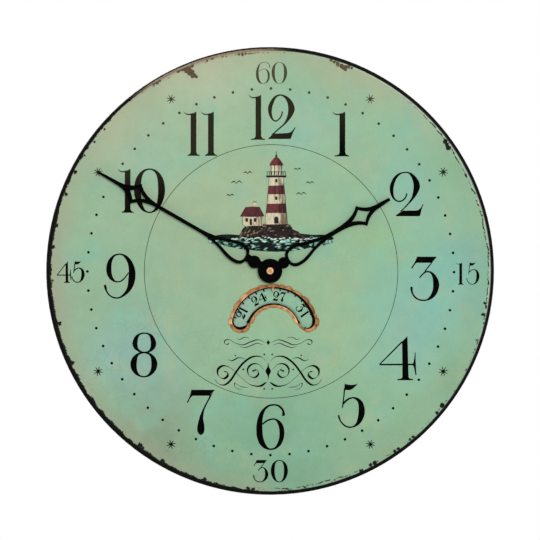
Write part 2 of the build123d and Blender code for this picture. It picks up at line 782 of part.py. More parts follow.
with BuildPart() as set_knob:
    with BuildSketch(spot(knob_back, minute_axis)):
        Circle(knob_r)
        with PolarLocations(knob_r, knob_flutes_n):
            Circle(knob_flute_r, mode=Mode.SUBTRACT)
    extrude(amount=knob_t)
    post(knob_back + knob_t / 2, knob_back + knob_t, minute_axis, minute_arbor_r + seat_gap, Mode.SUBTRACT)
set_knob.part.label = "set_knob"

with BuildPart() as hour_wheel:
    post(hour_layer, tube_front, hands_axis, tube_r)
    gear(hour_layer, wheel_t, hands_axis, hour_n, motion_module, hour_phase)
    post(hour_layer, tube_front, hands_axis, tube_bore, Mode.SUBTRACT)
hour_wheel.part.label = "hour_wheel"

# Date train in the board's pocket: pinion on the hour tube, two idlers, gear and disc
with BuildPart() as date_pinion:
    gear(date_layer_front, date_gear_t, hands_axis, date_pinion_n, date_module, 0)
    post(date_layer_front, date_layer_front + date_gear_t, hands_axis, tube_r + seat_gap, Mode.SUBTRACT)
date_pinion.part.label = "date_pinion"

with BuildPart() as first_idler:
    post(foot_front + end_shake, date_layer_front, first_axis, idler_post_r + idler_hub_over)
    gear(date_layer_back, date_gear_t, first_axis, idler_pinion_n, date_module, 0)
    gear(date_layer_front, date_gear_t, first_axis, first_wheel_n, date_module, first_phase)
    post(foot_front, idler_top, first_axis, idler_post_r + run_gap, Mode.SUBTRACT)
first_idler.part.label = "first_idler"

with BuildPart() as second_idler:
    post(foot_front + end_shake, date_layer_front, second_axis, idler_post_r + idler_hub_over)
    gear(date_layer_back, date_gear_t, second_axis, second_wheel_n, date_module, second_phase)
    gear(date_layer_front, date_gear_t, second_axis, idler_pinion_n, date_module, 0)
    post(foot_front, idler_top, second_axis, idler_post_r + run_gap, Mode.SUBTRACT)
second_idler.part.label = "second_idler"

with BuildPart() as date_gear:
    post(foot_front + end_shake, date_disc_back, date_axis, date_hub_r)
    gear(date_layer_front, date_gear_t, date_axis, date_gear_n, date_module, date_phase)
    post(foot_front, date_disc_back, date_axis, date_post_r + run_gap, Mode.SUBTRACT)
date_gear.part.label = "date_gear"

with BuildPart() as date_disc:
    post(date_disc_back, date_disc_front, date_axis, date_disc_r)
    post(date_disc_back, date_disc_front, date_axis, date_post_r + run_gap, Mode.SUBTRACT)
date_disc.part.label = "date_disc"

# Posts that the date train turns on, and the clips that keep it there
with BuildPart() as date_post:
    post(board_back, date_disc_front + clip_gap + clip_t, date_axis, date_post_r)
    post(floor_front, foot_front, date_axis, date_post_r + post_foot_over)
date_post.part.label = "date_post"

with BuildPart() as idler_posts:
    for axis in (first_axis, second_axis):
        post(board_back, idler_top + clip_gap + clip_t, axis, idler_post_r)
        post(floor_front, foot_front, axis, idler_post_r + post_foot_over)
idler_posts.part.label = "idler_posts"

with BuildPart() as date_clip:
    clip_back = date_disc_front + clip_gap
    post(clip_back, clip_back + clip_t, date_axis, date_post_r + clip_over)
    post(clip_back, clip_back + clip_t, date_axis, date_post_r + seat_gap, Mode.SUBTRACT)
date_clip.part.label = "date_clip"

with BuildPart() as idler_clips:
    for axis in (first_axis, second_axis):
        post(idler_top + clip_gap, idler_top + clip_gap + clip_t, axis, idler_post_r + clip_over)
        post(idler_top, idler_top + clip_gap + clip_t, axis, idler_post_r + seat_gap, Mode.SUBTRACT)
idler_clips.part.label = "idler_clips"


def hand_outline(plane, bead, neck, loop, eye, stem, point, hole, tip):
    """Pierced hand drawn upwards from its axis: hub, bead, loop, stem, barbed head and tip."""
    bead_at, bead_r = bead
    loop_from, loop_wide, loop_half, loop_mid, loop_mid_half, loop_to = loop
    eye_from, eye_half, eye_mid_half, eye_to = eye
    point_from, barb, barb_half, point_to = point
    hole_from, hole_half, hole_to = hole
    tip_at, tip_half = tip
    with BuildSketch(plane) as outline:
        Circle(hub_r)
        with Locations((0, bead_at)):
            Circle(bead_r)
        Rectangle(2 * neck, (loop_from + eye_from) / 2, align=(Align.CENTER, Align.MIN))
        with BuildLine():
            Spline((0, loop_from), (loop_half, loop_wide), tangents=((1, 0), (0, 1)))
            waist = (loop_mid_half, loop_mid)
            Spline((loop_half, loop_wide), waist, (stem, loop_to), tangents=((0, 1), (0, 1)))
            Line((stem, loop_to), (0, loop_to))
            mirror(about=Plane.YZ)
        make_face()
        with BuildLine():
            Spline((0, eye_from), (eye_half, loop_wide), tangents=((1, 0), (0, 1)))
            slim = (eye_mid_half, loop_mid)
            Spline((eye_half, loop_wide), slim, (0, eye_to), tangents=((0, 1), (-0.2, 1)))
            mirror(about=Plane.YZ)
        make_face(mode=Mode.SUBTRACT)
        with Locations((0, loop_to)):
            Rectangle(2 * stem, point_from - loop_to, align=(Align.CENTER, Align.MIN))
        with BuildLine():
            Line((0, point_from), (stem, point_from))
            Spline((stem, point_from), (barb_half, barb), tangents=((0, 1), (0.75, 0.66)))
            Spline((barb_half, barb), (stem, point_to), tangents=((-0.75, 0.66), (0, 1)))
            Line((stem, point_to), (tip_half, tip_at))
            Line((tip_half, tip_at), (0, tip_at))
            mirror(about=Plane.YZ)
        make_face()
        with BuildLine():
            Spline((0, hole_from), (hole_half, barb), tangents=((0.35, 1), (0.85, 0.9)))
            Spline((hole_half, barb), (0, hole_to), tangents=((-0.85, 0.9), (-0.35, 1)))
            mirror(about=Plane.YZ)
        make_face(mode=Mode.SUBTRACT)
    return outline.sketch


# Hands, their collets and the nut that holds them
with BuildPart() as hour_hand:
    hour_shape = hand_outline(
        spot(hour_back, hands_axis, hour_turn),
        bead=(hour_bead, hour_bead_r),
        neck=hour_neck,
        loop=(
            hour_loop_from,
            hour_loop_wide,
            hour_loop_half,
            hour_loop_mid,
            hour_loop_mid_half,
            hour_loop_to,
        ),
        eye=(hour_eye_from, hour_eye_half, hour_eye_mid_half, hour_eye_to),
        stem=hour_stem,
        point=(hour_point_from, hour_barb, hour_barb_half, hour_point_to),
        hole=(hour_hole_from, hour_hole_half, hour_hole_to),
        tip=(hour_tip, hour_tip_half),
    )
    extrude(hour_shape, amount=hand_t)
    post(hour_back, hour_front, hands_axis, tube_r + seat_gap, Mode.SUBTRACT)
hour_hand.part.label = "hour_hand"

with BuildPart() as minute_hand:
    minute_shape = hand_outline(
        spot(minute_back, hands_axis, minute_turn),
        bead=(minute_bead, minute_bead_r),
        neck=minute_neck,
        loop=(
            minute_loop_from,
            minute_loop_wide,
            minute_loop_half,
            minute_loop_mid,
            minute_loop_mid_half,
            minute_loop_to,
        ),
        eye=(minute_eye_from, minute_eye_half, minute_eye_mid_half, minute_eye_to),
        stem=minute_stem,
        point=(minute_point_from, minute_barb, minute_barb_half, minute_point_to),
        hole=(minute_hole_from, minute_hole_half, minute_hole_to),
        tip=(minute_tip, minute_tip_half),
    )
    extrude(minute_shape, amount=hand_t)
    post(minute_back, minute_front, hands_axis, shaft_r + seat_gap, Mode.SUBTRACT)
minute_hand.part.label = "minute_hand"

with BuildPart() as hour_collet:
    post(hour_back - collet_t, hour_back, hands_axis, tube_r + collet_over)
    post(hour_back - collet_t, hour_back, hands_axis, tube_r + seat_gap, Mode.SUBTRACT)
hour_collet.part.label = "hour_collet"

with BuildPart() as minute_collet:
    post(minute_back - collet_t, minute_back, hands_axis, shaft_r + collet_over)
    post(minute_back - collet_t, minute_back, hands_axis, shaft_r + seat_gap, Mode.SUBTRACT)
minute_collet.part.label = "minute_collet"

with BuildPart() as hand_nut:
    post(minute_front, hand_nut_front, hands_axis, hand_nut_r)
    fillet(hand_nut.faces().sort_by(Axis.Y)[0].edges(), hand_nut_round)
    post(minute_front, hand_nut_front, hands_axis, shaft_r + seat_gap, Mode.SUBTRACT)
hand_nut.part.label = "hand_nut"

pieces = [
    dial_board, dial_plate, date_frame, rear_hoop, hoop_screws, keyhole_hanger, hanger_screws,
    movement_case, movement_cover, cover_screws, rubber_gasket, threaded_bush, bush_washer, bush_nut,
    stator, coil_core, coil_bobbin, coil_winding, rotor, circuit_board, crystal_can,
    battery, contact_plus, contact_minus, step_wheel, fourth_wheel, third_wheel, centre_wheel,
    minute_wheel, set_knob, hour_wheel, date_pinion, first_idler, second_idler, date_gear, date_disc,
    date_post, idler_posts, date_clip, idler_clips,
    hour_hand, minute_hand, hour_collet, minute_collet, hand_nut,
]
os.makedirs("parts", exist_ok=True)
for piece in pieces:
    export_step(piece.part, f"parts/{piece.part.label}.step")
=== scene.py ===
"""Looks of a round painted wall clock, in metres, in the model's own frame.

The dial faces -Y, the hands turn about the Y axis and Z is up. Sizes inside the classes are
millimetres, and a "depth" is a distance from the wall towards the viewer, so that y = -depth.
"""

from __future__ import annotations

import logging
import math
import random
from collections.abc import Iterable, Sequence
from dataclasses import dataclass
from enum import Enum
from typing import ClassVar

import bmesh
import bpy
import numpy as np
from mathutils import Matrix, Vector

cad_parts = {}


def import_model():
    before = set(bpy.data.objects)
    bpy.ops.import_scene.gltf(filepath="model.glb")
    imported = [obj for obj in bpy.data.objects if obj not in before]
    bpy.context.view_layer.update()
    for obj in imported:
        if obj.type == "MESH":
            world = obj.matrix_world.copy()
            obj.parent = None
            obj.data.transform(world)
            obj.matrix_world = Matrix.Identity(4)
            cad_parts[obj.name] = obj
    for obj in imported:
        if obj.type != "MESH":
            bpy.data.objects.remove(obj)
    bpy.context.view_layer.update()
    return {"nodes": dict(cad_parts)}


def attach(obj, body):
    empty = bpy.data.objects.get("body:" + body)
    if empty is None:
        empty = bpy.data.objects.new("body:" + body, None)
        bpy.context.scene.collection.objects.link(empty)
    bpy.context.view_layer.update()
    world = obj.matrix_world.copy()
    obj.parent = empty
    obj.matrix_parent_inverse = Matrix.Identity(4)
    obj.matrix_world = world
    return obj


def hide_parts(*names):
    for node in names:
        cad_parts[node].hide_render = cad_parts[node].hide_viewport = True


LOG = logging.getLogger("wall_clock")
MM = 0.001

Colour = tuple[float, float, float, float]
Point = tuple[float, float]
Place = tuple[float, float, float]
Rung = tuple[float, float, float, float]
Node = bpy.types.Node
Socket = bpy.types.NodeSocket
Tree = bpy.types.NodeTree
Value = object


def linear(code: str) -> Colour:
    """Turn an sRGB code into a linear colour.

    Args:
        code: six hexadecimal digits, red first.

    Returns:
        Linear red, green and blue, and an alpha of one.
    """
    parts = [int(code[i : i + 2], 16) / 255 for i in (0, 2, 4)]
    red, green, blue = (c / 12.92 if c <= 0.04045 else ((c + 0.055) / 1.055) ** 2.4 for c in parts)
    return red, green, blue, 1.0


class NodeDesk:
    """Adds nodes to one tree and wires them."""

    def __init__(self, tree: Tree) -> None:
        """Work on a tree."""
        self.tree = tree

    def feed(self, socket: Socket, value: Value) -> None:
        """Link a socket to another one, or set its own value; a text is an sRGB code."""
        if isinstance(value, Socket):
            self.tree.links.new(value, socket)
        else:
            socket.default_value = linear(value) if isinstance(value, str) else value

    def node(self, kind: str, inputs: dict | None = None, **settings: Value) -> Node:
        """Add a node.

        Args:
            kind: the node's type.
            inputs: socket names or numbers, and what feeds them.
            settings: properties of the node itself.

        Returns:
            The new node.
        """
        made = self.tree.nodes.new(kind)
        for name, value in settings.items():
            setattr(made, name, value)
        for name, value in (inputs or {}).items():
            self.feed(made.inputs[name], value)
        return made

    def math(self, operation: str, first: Value, *others: Value) -> Socket:
        """Put numbers through math nodes, two at a time, and return the result."""
        for other in others or (0.0,):
            first = self.node("ShaderNodeMath", {0: first, 1: other}, operation=operation).outputs[0]
        return first

    def times(self, *values: Value) -> Socket:
        """Multiply numbers."""
        return self.math("MULTIPLY", *values)

    def plus(self, *values: Value) -> Socket:
        """Add numbers."""
        return self.math("ADD", *values)

    def less(self, first: Value, second: Value) -> Socket:
        """Take one number from another."""
        return self.math("SUBTRACT", first, second)

    def most(self, *values: Value) -> Socket:
        """Return the greatest of some numbers."""
        return self.math("MAXIMUM", *values)

    def vector(self, operation: str, first: Value, second: Value = (0.0, 0.0, 0.0)) -> Socket:
        """Put two vectors through a vector math node and return the vector."""
        return self.node("ShaderNodeVectorMath", {0: first, 1: second}, operation=operation).outputs[0]

    def dot(self, first: Value, second: Value) -> Socket:
        """Return the product of two vectors as a number."""
        made = self.node("ShaderNodeVectorMath", {0: first, 1: second}, operation="DOT_PRODUCT")
        return made.outputs["Value"]

    def length(self, vector: Value) -> Socket:
        """Return a vector's length."""
        return self.node("ShaderNodeVectorMath", {0: vector}, operation="LENGTH").outputs["Value"]

    def flat(self, vector: Value) -> Socket:
        """Return a vector without its part along the hands' axis."""
        return self.vector("MULTIPLY", vector, (1.0, 0.0, 1.0))

    def parts(self, vector: Value) -> tuple[Socket, ...]:
        """Return a vector's three parts."""
        return tuple(self.node("ShaderNodeSeparateXYZ", {0: vector}).outputs)

    def join(self, **parts: Value) -> Socket:
        """Return a vector made of the parts X, Y and Z."""
        return self.node("ShaderNodeCombineXYZ", parts).outputs[0]

    def mapped(self, vector: Value, scale: Place, turn: float = 0.0) -> Socket:
        """Return coordinates that are scaled, then turned about the Y axis."""
        feeds = {"Vector": vector, "Scale": scale, "Rotation": (0.0, turn, 0.0)}
        return self.node("ShaderNodeMapping", feeds).outputs[0]

    def span(self, value: Value, start: Value, end: Value, low: float = 0.0, high: float = 1.0) -> Socket:
        """Return a number that eases from low to high while a value goes from start to end."""
        feeds = {"Value": value, "From Min": start, "From Max": end, "To Min": low, "To Max": high}
        return self.node("ShaderNodeMapRange", feeds, interpolation_type="SMOOTHSTEP").outputs[0]

    def blend(self, share: Value, under: Value, over: Value, mode: str = "MIX") -> Socket:
        """Lay one colour over another by a share and return the mixed colour."""
        feeds = {0: share, 6: under, 7: over}
        return self.node("ShaderNodeMix", feeds, data_type="RGBA", blend_type=mode).outputs[2]

    def shaded(self, colour: Value, shade: Value) -> Socket:
        """Return a colour made lighter or darker by a shade."""
        tint = self.node("ShaderNodeCombineColor", {0: shade, 1: shade, 2: shade}).outputs[0]
        return self.blend(1.0, colour, tint, "MULTIPLY")

    def noise(self, vector: Value, scale: Value, detail: float = 2.0, rough: float = 0.5) -> Socket:
        """Add a noise texture on a vector and return its value."""
        feeds = {"Vector": vector, "Scale": scale, "Detail": detail, "Roughness": rough}
        return self.node("ShaderNodeTexNoise", feeds).outputs[0]

    def millimetres(self) -> Socket:
        """Return the piece's own coordinates in millimetres."""
        return self.mapped(self.node("ShaderNodeTexCoord").outputs["Object"], (1000.0, 1000.0, 1000.0))

    def warped(self, vector: Value, scale: float, reach: float, detail: float = 2.0) -> Socket:
        """Push coordinates about by noise.

        Args:
            vector: coordinates in millimetres.
            scale: noise features per millimetre.
            reach: largest push in millimetres.
            detail: octaves of the noise.

        Returns:
            The pushed coordinates.
        """
        push = self.noise(vector, scale, detail).node.outputs["Color"]
        centred = self.vector("SUBTRACT", push, (0.5, 0.5, 0.5))
        return self.vector("ADD", vector, self.vector("MULTIPLY", centred, (2 * reach, 2 * reach, 2 * reach)))

    def seen(self) -> Socket:
        """Return one for rays from the camera, off gloss and through glass, and zero for the rest."""
        path = self.node("ShaderNodeLightPath").outputs
        return self.most(path["Is Camera Ray"], path["Is Glossy Ray"], path["Is Transmission Ray"])

    def effect(self, effect: Effect, **feeds: Value) -> bpy.types.NodeOutputs:
        """Place a shared effect with its inputs fed, and return its outputs."""
        return self.node("ShaderNodeGroup", feeds, node_tree=SharedEffects.tree(effect)).outputs


class Effect(Enum):
    """Surface effects that several finishes share."""

    SOFT_PATCH = "soft_patch"
    PAINT_GRAIN = "paint_grain"
    FLAKED_RIM = "flaked_rim"
    METAL_WEAR = "metal_wear"


class SharedEffects:
    """Builds each shared shader group once."""

    made: ClassVar[dict[Effect, Tree]] = {}
    flake_edge: ClassVar[float] = 0.22

    @classmethod
    def tree(cls, effect: Effect) -> Tree:
        """Return the group of an effect, built at its first use."""
        if effect not in cls.made:
            makers = {
                Effect.SOFT_PATCH: cls._soft_patch,
                Effect.PAINT_GRAIN: cls._paint_grain,
                Effect.FLAKED_RIM: cls._flaked_rim,
                Effect.METAL_WEAR: cls._metal_wear,
            }
            cls.made[effect] = makers[effect](effect.value)
        return cls.made[effect]

    @staticmethod
    def _open(
        name: str, inputs: Sequence[str], outputs: Sequence[str]
    ) -> tuple[NodeDesk, bpy.types.NodeOutputs, bpy.types.NodeInputs]:
        """Start a group.

        Args:
            name: the group's name.
            inputs: names of its inputs; Vector is a vector and the rest are numbers.
            outputs: names of its outputs, all numbers.

        Returns:
            A desk on the group, what comes into it and what it puts out.
        """
        tree = bpy.data.node_groups.new(name, "ShaderNodeTree")
        for label in inputs:
            kind = "NodeSocketVector" if label == "Vector" else "NodeSocketFloat"
            tree.interface.new_socket(name=label, in_out="INPUT", socket_type=kind)
        for label in outputs:
            tree.interface.new_socket(name=label, in_out="OUTPUT", socket_type="NodeSocketFloat")
        desk = NodeDesk(tree)
        return desk, desk.node("NodeGroupInput").outputs, desk.node("NodeGroupOutput").inputs

    @classmethod
    def _soft_patch(cls, name: str) -> Tree:
        """Build a round patch in the plane of the dial, with a soft edge."""
        desk, start, end = cls._open(name, ("Vector", "Across", "Up", "Radius", "Edge"), ("Mask",))
        right, _, height = desk.parts(start["Vector"])
        off = desk.join(X=desk.less(right, start["Across"]), Z=desk.less(height, start["Up"]))
        inner = desk.less(start["Radius"], start["Edge"])
        outer = desk.plus(start["Radius"], start["Edge"])
        desk.feed(end["Mask"], desk.less(1.0, desk.span(desk.length(off), inner, outer)))
        return desk.tree

    @classmethod
    def _paint_grain(cls, name: str) -> Tree:
        """Build the uneven shade and the fine relief of brushed paint."""
        desk, start, end = cls._open(name, ("Vector", "Fine", "Coarse"), ("Shade", "Height"))
        fine = desk.noise(start["Vector"], start["Fine"], 3.0, 0.6)
        coarse = desk.noise(start["Vector"], start["Coarse"], 4.0, 0.6)
        desk.feed(end["Shade"], desk.plus(desk.times(fine, 0.45), desk.times(coarse, 0.55)))
        desk.feed(end["Height"], fine)
        return desk.tree

    @classmethod
    def _flaked_rim(cls, name: str) -> Tree:
        """Build a ragged mask that covers everything beyond a radius about the hands' axis."""
        desk, start, end = cls._open(name, ("Vector", "Radius", "Spread", "Ragged"), ("Mask",))
        flat = desk.flat(start["Vector"])
        clumps = desk.noise(flat, 0.16, 3.0, 0.6)
        shreds = desk.noise(flat, 0.9, 3.0, 0.7)
        wide = desk.times(desk.less(clumps, 0.5), start["Spread"])
        tight = desk.times(desk.less(shreds, 0.5), start["Ragged"])
        low = desk.less(start["Radius"], cls.flake_edge)
        high = desk.plus(start["Radius"], cls.flake_edge)
        desk.feed(end["Mask"], desk.span(desk.plus(desk.length(flat), wide, tight), low, high))
        return desk.tree

    @classmethod
    def _metal_wear(cls, name: str) -> Tree:
        """Build the tarnish, dulling and dents of handled metal."""
        desk, start, end = cls._open(name, ("Vector", "Scale"), ("Tarnish", "Dull", "Height"))
        cloud = desk.noise(start["Vector"], start["Scale"], 5.0, 0.65)
        fine = desk.noise(start["Vector"], desk.times(start["Scale"], 5.0))
        desk.feed(end["Tarnish"], desk.span(cloud, 0.36, 0.66))
        desk.feed(end["Dull"], desk.plus(desk.times(fine, 0.5), desk.times(cloud, 0.5)))
        desk.feed(end["Height"], cloud)
        return desk.tree


@dataclass(frozen=True)
class Finish:
    """A finish with one procedural material.

    Attributes:
        name: the material's name.
        colour: main colour, as an sRGB code.
        roughness: mean roughness.
        specular: specular level.
        metallic: one for bare metal.
        bump: height of the relief in millimetres.
    """

    name: str
    colour: str
    roughness: float = 0.5
    specular: float = 0.3
    metallic: float = 0.0
    bump: float = 0.03
    built: ClassVar[dict[str, bpy.types.Material]] = {}

    def material(self) -> bpy.types.Material:
        """Return the finish's material, built at its first use."""
        if self.name in self.built:
            return self.built[self.name]
        made = bpy.data.materials.new(self.name)
        self.built[self.name] = made
        made.use_nodes = True
        made.diffuse_color = linear(self.colour)
        made.node_tree.nodes.clear()
        desk = NodeDesk(made.node_tree)
        feeds = {
            "Base Color": self.colour,
            "Roughness": self.roughness,
            "Specular IOR Level": self.specular,
            "Metallic": self.metallic,
        }
        shader = desk.node("ShaderNodeBsdfPrincipled", feeds)
        desk.node("ShaderNodeOutputMaterial", {"Surface": shader.outputs["BSDF"]})
        self.dress(desk, shader, desk.millimetres())
        return made

    def cover(self, mesh: bpy.types.Mesh) -> None:
        """Give a mesh this finish alone."""
        mesh.materials.clear()
        mesh.materials.append(self.material())

    def gloss(self, desk: NodeDesk, uneven: Value, under: float, over: float) -> Socket:
        """Return a roughness that follows a noise from under to over the finish's own."""
        return desk.span(uneven, 0.3, 0.7, self.roughness - under, self.roughness + over)

    def coat(self, desk: NodeDesk, shader: Node, colour: Value, rough: Value, height: Value) -> None:
        """Feed the shader.

        Args:
            desk: the material's desk.
            shader: the shader.
            colour: its base colour.
            rough: its roughness.
            height: relief from zero to one.
        """
        bump = desk.node("ShaderNodeBump", {"Height": height, "Distance": self.bump * MM})
        desk.feed(shader.inputs["Base Color"], colour)
        desk.feed(shader.inputs["Roughness"], rough)
        desk.feed(shader.inputs["Normal"], bump.outputs["Normal"])

    def dress(self, desk: NodeDesk, shader: Node, here: Socket) -> None:
        """Wire the finish's own pattern.

        Args:
            desk: the material's desk.
            shader: the shader to feed.
            here: the piece's coordinates in millimetres.
        """
        grain = desk.effect(Effect.PAINT_GRAIN, Vector=here, Fine=1.6, Coarse=0.12)
        colour = desk.shaded(self.colour, desk.span(grain["Shade"], 0.35, 0.65, 0.86, 1.12))
        self.coat(desk, shader, colour, self.gloss(desk, grain["Height"], 0.06, 0.06), grain["Height"])


@dataclass(frozen=True)
class Patch:
    """A soft or chipped spot on the dial.

    Attributes:
        across: place to the right of the hands' axis.
        up: place above it.
        radius: size of the spot.
        edge: half the width of its edge.
        colour: sRGB code of the spot.
        share: how strongly it shows.
    """

    across: float
    up: float
    radius: float
    edge: float
    colour: str = ""
    share: float = 1.0

    def mask(self, desk: NodeDesk, here: Value) -> Socket:
        """Return the spot's mask."""
        sizes = {"Across": self.across, "Up": self.up, "Radius": self.radius, "Edge": self.edge}
        mask = desk.effect(Effect.SOFT_PATCH, Vector=here, **sizes)["Mask"]
        return mask if self.share == 1.0 else desk.times(mask, self.share)


@dataclass(frozen=True)
class Lean:
    """The part of the dial that lies in one direction from the hands' axis.

    Attributes:
        side: the direction's part to the right.
        top: its part upwards.
        start: cosine of the angle off the direction where the part fades in.
        end: cosine where it is full.
    """

    side: float
    top: float
    start: float
    end: float

    def mask(self, desk: NodeDesk, aim: Value) -> Socket:
        """Return the part's mask, from each point's direction."""
        return desk.span(desk.dot(aim, (self.side, 0.0, self.top)), self.start, self.end)


@dataclass(frozen=True)
class Stain:
    """A colour that comes in towards the rim on one part of the dial: some are real marks on the paint, and
    others are a painted shade, a painted highlight and a painted sheen.

    Attributes:
        where: the part that it lies on.
        start: radius where it comes in.
        end: radius where it is full.
        share: how strongly it shows.
        colour: its sRGB code.
    """

    where: Lean
    start: float
    end: float
    share: float
    colour: str


@dataclass(frozen=True)
class DialPaint(Finish):
    """Aged mint paint: soft blue and buff clouds, hair cracks, tints towards the rim with a painted shade, a
    painted highlight and a painted sheen among them, and black flaking at the rim.
    """

    clouds: tuple[Patch, ...] = (
        Patch(20, -10, 60, 60, "9ab991", 0.7),
        Patch(-48, 52, 50, 50, "aaba97", 0.7),
        Patch(130, -14, 36, 40, "80baad", 0.85),
        Patch(112, -58, 24, 32, "84bab0", 0.6),
        Patch(112, 64, 24, 32, "87bbac", 0.65),
        Patch(26, 116, 20, 34, "96c0b0", 0.6),
        Patch(-98, 88, 18, 34, "96bfac", 0.6),
        Patch(-111, -64, 26, 30, "8cbab6", 0.95),
        Patch(-92, -98, 16, 26, "90b8ae", 0.7),
        Patch(0, -150, 60, 60, "7da98c", 0.9),
        Patch(-98, -134, 30, 38, "859a80", 0.9),
        Patch(95, -138, 18, 30, "95ae8b", 0.85),
        Patch(-58, 164, 36, 42, "bcc3a6", 0.9),
        Patch(66, 160, 20, 36, "a9b894", 0.8),
        Patch(-124, 114, 22, 34, "b2bb9d", 0.85),
        Patch(-172, -20, 10, 36, "9eab98", 0.7),
        Patch(-132, 40, 16, 30, "a3b99a", 0.6),
        Patch(146, 84, 14, 24, "88b18a", 0.8),
        Patch(165, 0, 16, 26, "82b8ab", 0.8),
        Patch(143, -83, 12, 22, "86b08b", 0.8),
        Patch(84, -108, 24, 30, "86b492", 0.7),
        Patch(-100, -46, 62, 50, "92ad92", 0.4),
        Patch(94, 25, 18, 28, "98bb8a", 0.75),
    )
    chips: tuple[Place, ...] = (
        (-72.5, 163.6, 2.2), (-69.5, 162.6, 2.8), (-66.0, 161.4, 3.3), (-63.8, 159.4, 3.0),
        (-61.9, 157.2, 2.3), (-59.6, 156.2, 1.5), (-73.6, 160.4, 1.5), (-62.4, 164.6, 1.4),
        (-93.4, 150.0, 1.3), (-91.0, 151.2, 1.5), (-88.6, 152.6, 1.1), (-112.5, 137.3, 1.2),
        (-50.6, 168.7, 0.8), (-46.5, 170.4, 0.8), (-25.2, 173.6, 1.1), (-22.4, 173.9, 1.4),
        (-19.6, 174.4, 1.0), (49.0, 169.0, 1.2), (51.6, 167.8, 1.4), (54.4, 166.6, 1.5), (57.2, 164.6, 1.6),
        (58.6, 163.0, 1.4), (60.4, 163.8, 1.9), (60.2, 161.6, 1.3), (63.2, 163.8, 1.4), (65.8, 163.0, 1.0),
        (54.6, 164.4, 0.9), (140.4, 104.2, 1.9), (142.0, 101.6, 1.7), (143.0, 98.6, 2.1),
        (138.0, -108.1, 2.1), (133.9, -113.8, 1.5), (115.0, -133.2, 1.3), (112.4, -135.4, 1.1),
        (102.9, -142.8, 1.5), (100.1, -144.7, 1.5), (83.8, -154.2, 1.8), (80.5, -155.7, 1.7),
        (73.2, -160.9, 1.9), (-13.6, -175.2, 1.6), (-17.5, -174.6, 1.5), (-52.6, -166.9, 1.3),
        (-86.4, -152.7, 1.9), (-104.4, -139.8, 2.0), (-102.2, -142.2, 1.5), (-158.6, -74.0, 1.8),
        (-169.3, -42.2, 1.7), (172.5, -25.8, 1.2), (170.9, -34.8, 1.2), (165.8, -55.4, 0.9),
        (-174.6, -8.0, 1.0), (-174.0, 19.4, 1.5), (-171.4, 36.6, 1.4), (-163.8, 61.6, 1.3),
        (-156.2, 79.2, 1.3), (-148.8, 92.6, 1.0), (-140.8, 103.8, 0.9), (-133.0, 113.8, 1.0),
        (28.0, -173.6, 1.2),
    )
    chip_edge: float = 0.3
    drifts: tuple[str, str] = ("86bda8", "adb794")
    cracked: Patch = Patch(-100, -110, 80, 60)
    crack_brown: str = "5d6b55"
    bare_black: str = "0e0d0b"
    bare_brown: str = "665440"
    rim: float = 178.4
    lower_left: Lean = Lean(-0.829, -0.559, 0.42, 0.75)
    lower_right: Lean = Lean(0.777, -0.629, 0.82, 0.92)
    upper_left: Lean = Lean(-0.951, 0.309, 0.8, 0.93)
    upper_right: Lean = Lean(0.866, 0.5, 0.55, 0.8)
    right: Lean = Lean(0.985, -0.174, 0.42, 0.62)
    crown: Lean = Lean(-0.292, 0.956, 0.9, 0.97)
    foot: Lean = Lean(0.174, -0.985, 0.96, 0.99)
    rim_cuts: tuple[tuple[Lean, float], ...] = ((lower_left, 2.8), (upper_left, 2.0), (foot, 1.4))
    # Buff and brownish tints at the upper left and lower left; a painted shade towards the lower right rim; a
    # painted highlight on the plate's rounded edge at the upper right; rubbed brown with a painted sheen of
    # the light from above at the crown.
    stains: tuple[Stain, ...] = (
        Stain(Lean(-0.5, 0.866, -0.1, 0.7), 150.0, 177.0, 0.36, "b4aa8c"),
        Stain(lower_left, 158.0, 177.0, 0.42, "a39b86"),
        Stain(Lean(0.707, -0.707, 0.1, 0.5), 146.0, 168.0, 0.12, "6a7a5c"),
        Stain(upper_right, 175.5, 176.1, 0.6, "c3c9b4"),
        Stain(crown, 174.4, 176.6, 0.75, "a8977c"),
    )

    def dress(self, desk: NodeDesk, shader: Node, here: Socket) -> None:
        """Wire the clouds, cracks, rim tints with their painted light, chips and rim."""
        grain = desk.effect(Effect.PAINT_GRAIN, Vector=here, Fine=0.9, Coarse=0.07)
        colour = desk.shaded(self._clouded(desk, here), desk.span(grain["Shade"], 0.34, 0.66, 0.945, 1.055))
        colour = desk.blend(self._cracks(desk, here), colour, self.crack_brown)
        flat = desk.flat(here)
        far, aim = desk.length(flat), desk.vector("NORMALIZE", flat)
        for rim_tint in self.stains:
            reach = desk.span(far, rim_tint.start, rim_tint.end)
            share = desk.times(reach, rim_tint.where.mask(desk, aim), rim_tint.share)
            colour = desk.blend(share, colour, rim_tint.colour)
        bare = self._bare(desk, here, far, aim)
        # Bare flakes turn brown towards the top, rubbed paint with a painted sheen of the light from above,
        # and partly brown at the foot.
        brown = desk.span(desk.parts(here)[2], 128.0, 158.0)
        brown = desk.most(brown, desk.times(self.foot.mask(desk, aim), 0.5))
        mottle = desk.span(desk.noise(here, 0.6, 3.0), 0.4, 0.6, 0.65, 1.0)
        under = desk.blend(desk.times(brown, mottle), self.bare_black, self.bare_brown)
        rough = desk.most(self.gloss(desk, grain["Shade"], 0.05, 0.08), desk.times(bare, 0.62))
        relief = desk.less(desk.times(grain["Height"], 0.35), bare)
        self.coat(desk, shader, desk.blend(bare, colour, under), rough, relief)

    def _clouded(self, desk: NodeDesk, here: Socket) -> Value:
        """Return the paint's colour with its clouds and drifts."""
        broad = desk.warped(here, 0.016, 20.0)
        colour: Value = self.colour
        for cloud in self.clouds:
            colour = desk.blend(cloud.mask(desk, broad), colour, cloud.colour)
        for shift, drift in zip((0.0, 400.0), self.drifts):
            moved = desk.vector("ADD", here, (shift, 0.0, shift))
            cloudy = desk.noise(moved, 0.03, 4.0, 0.6)
            colour = desk.blend(desk.span(cloudy, 0.5, 0.72, 0.0, 0.45), colour, drift)
        return colour

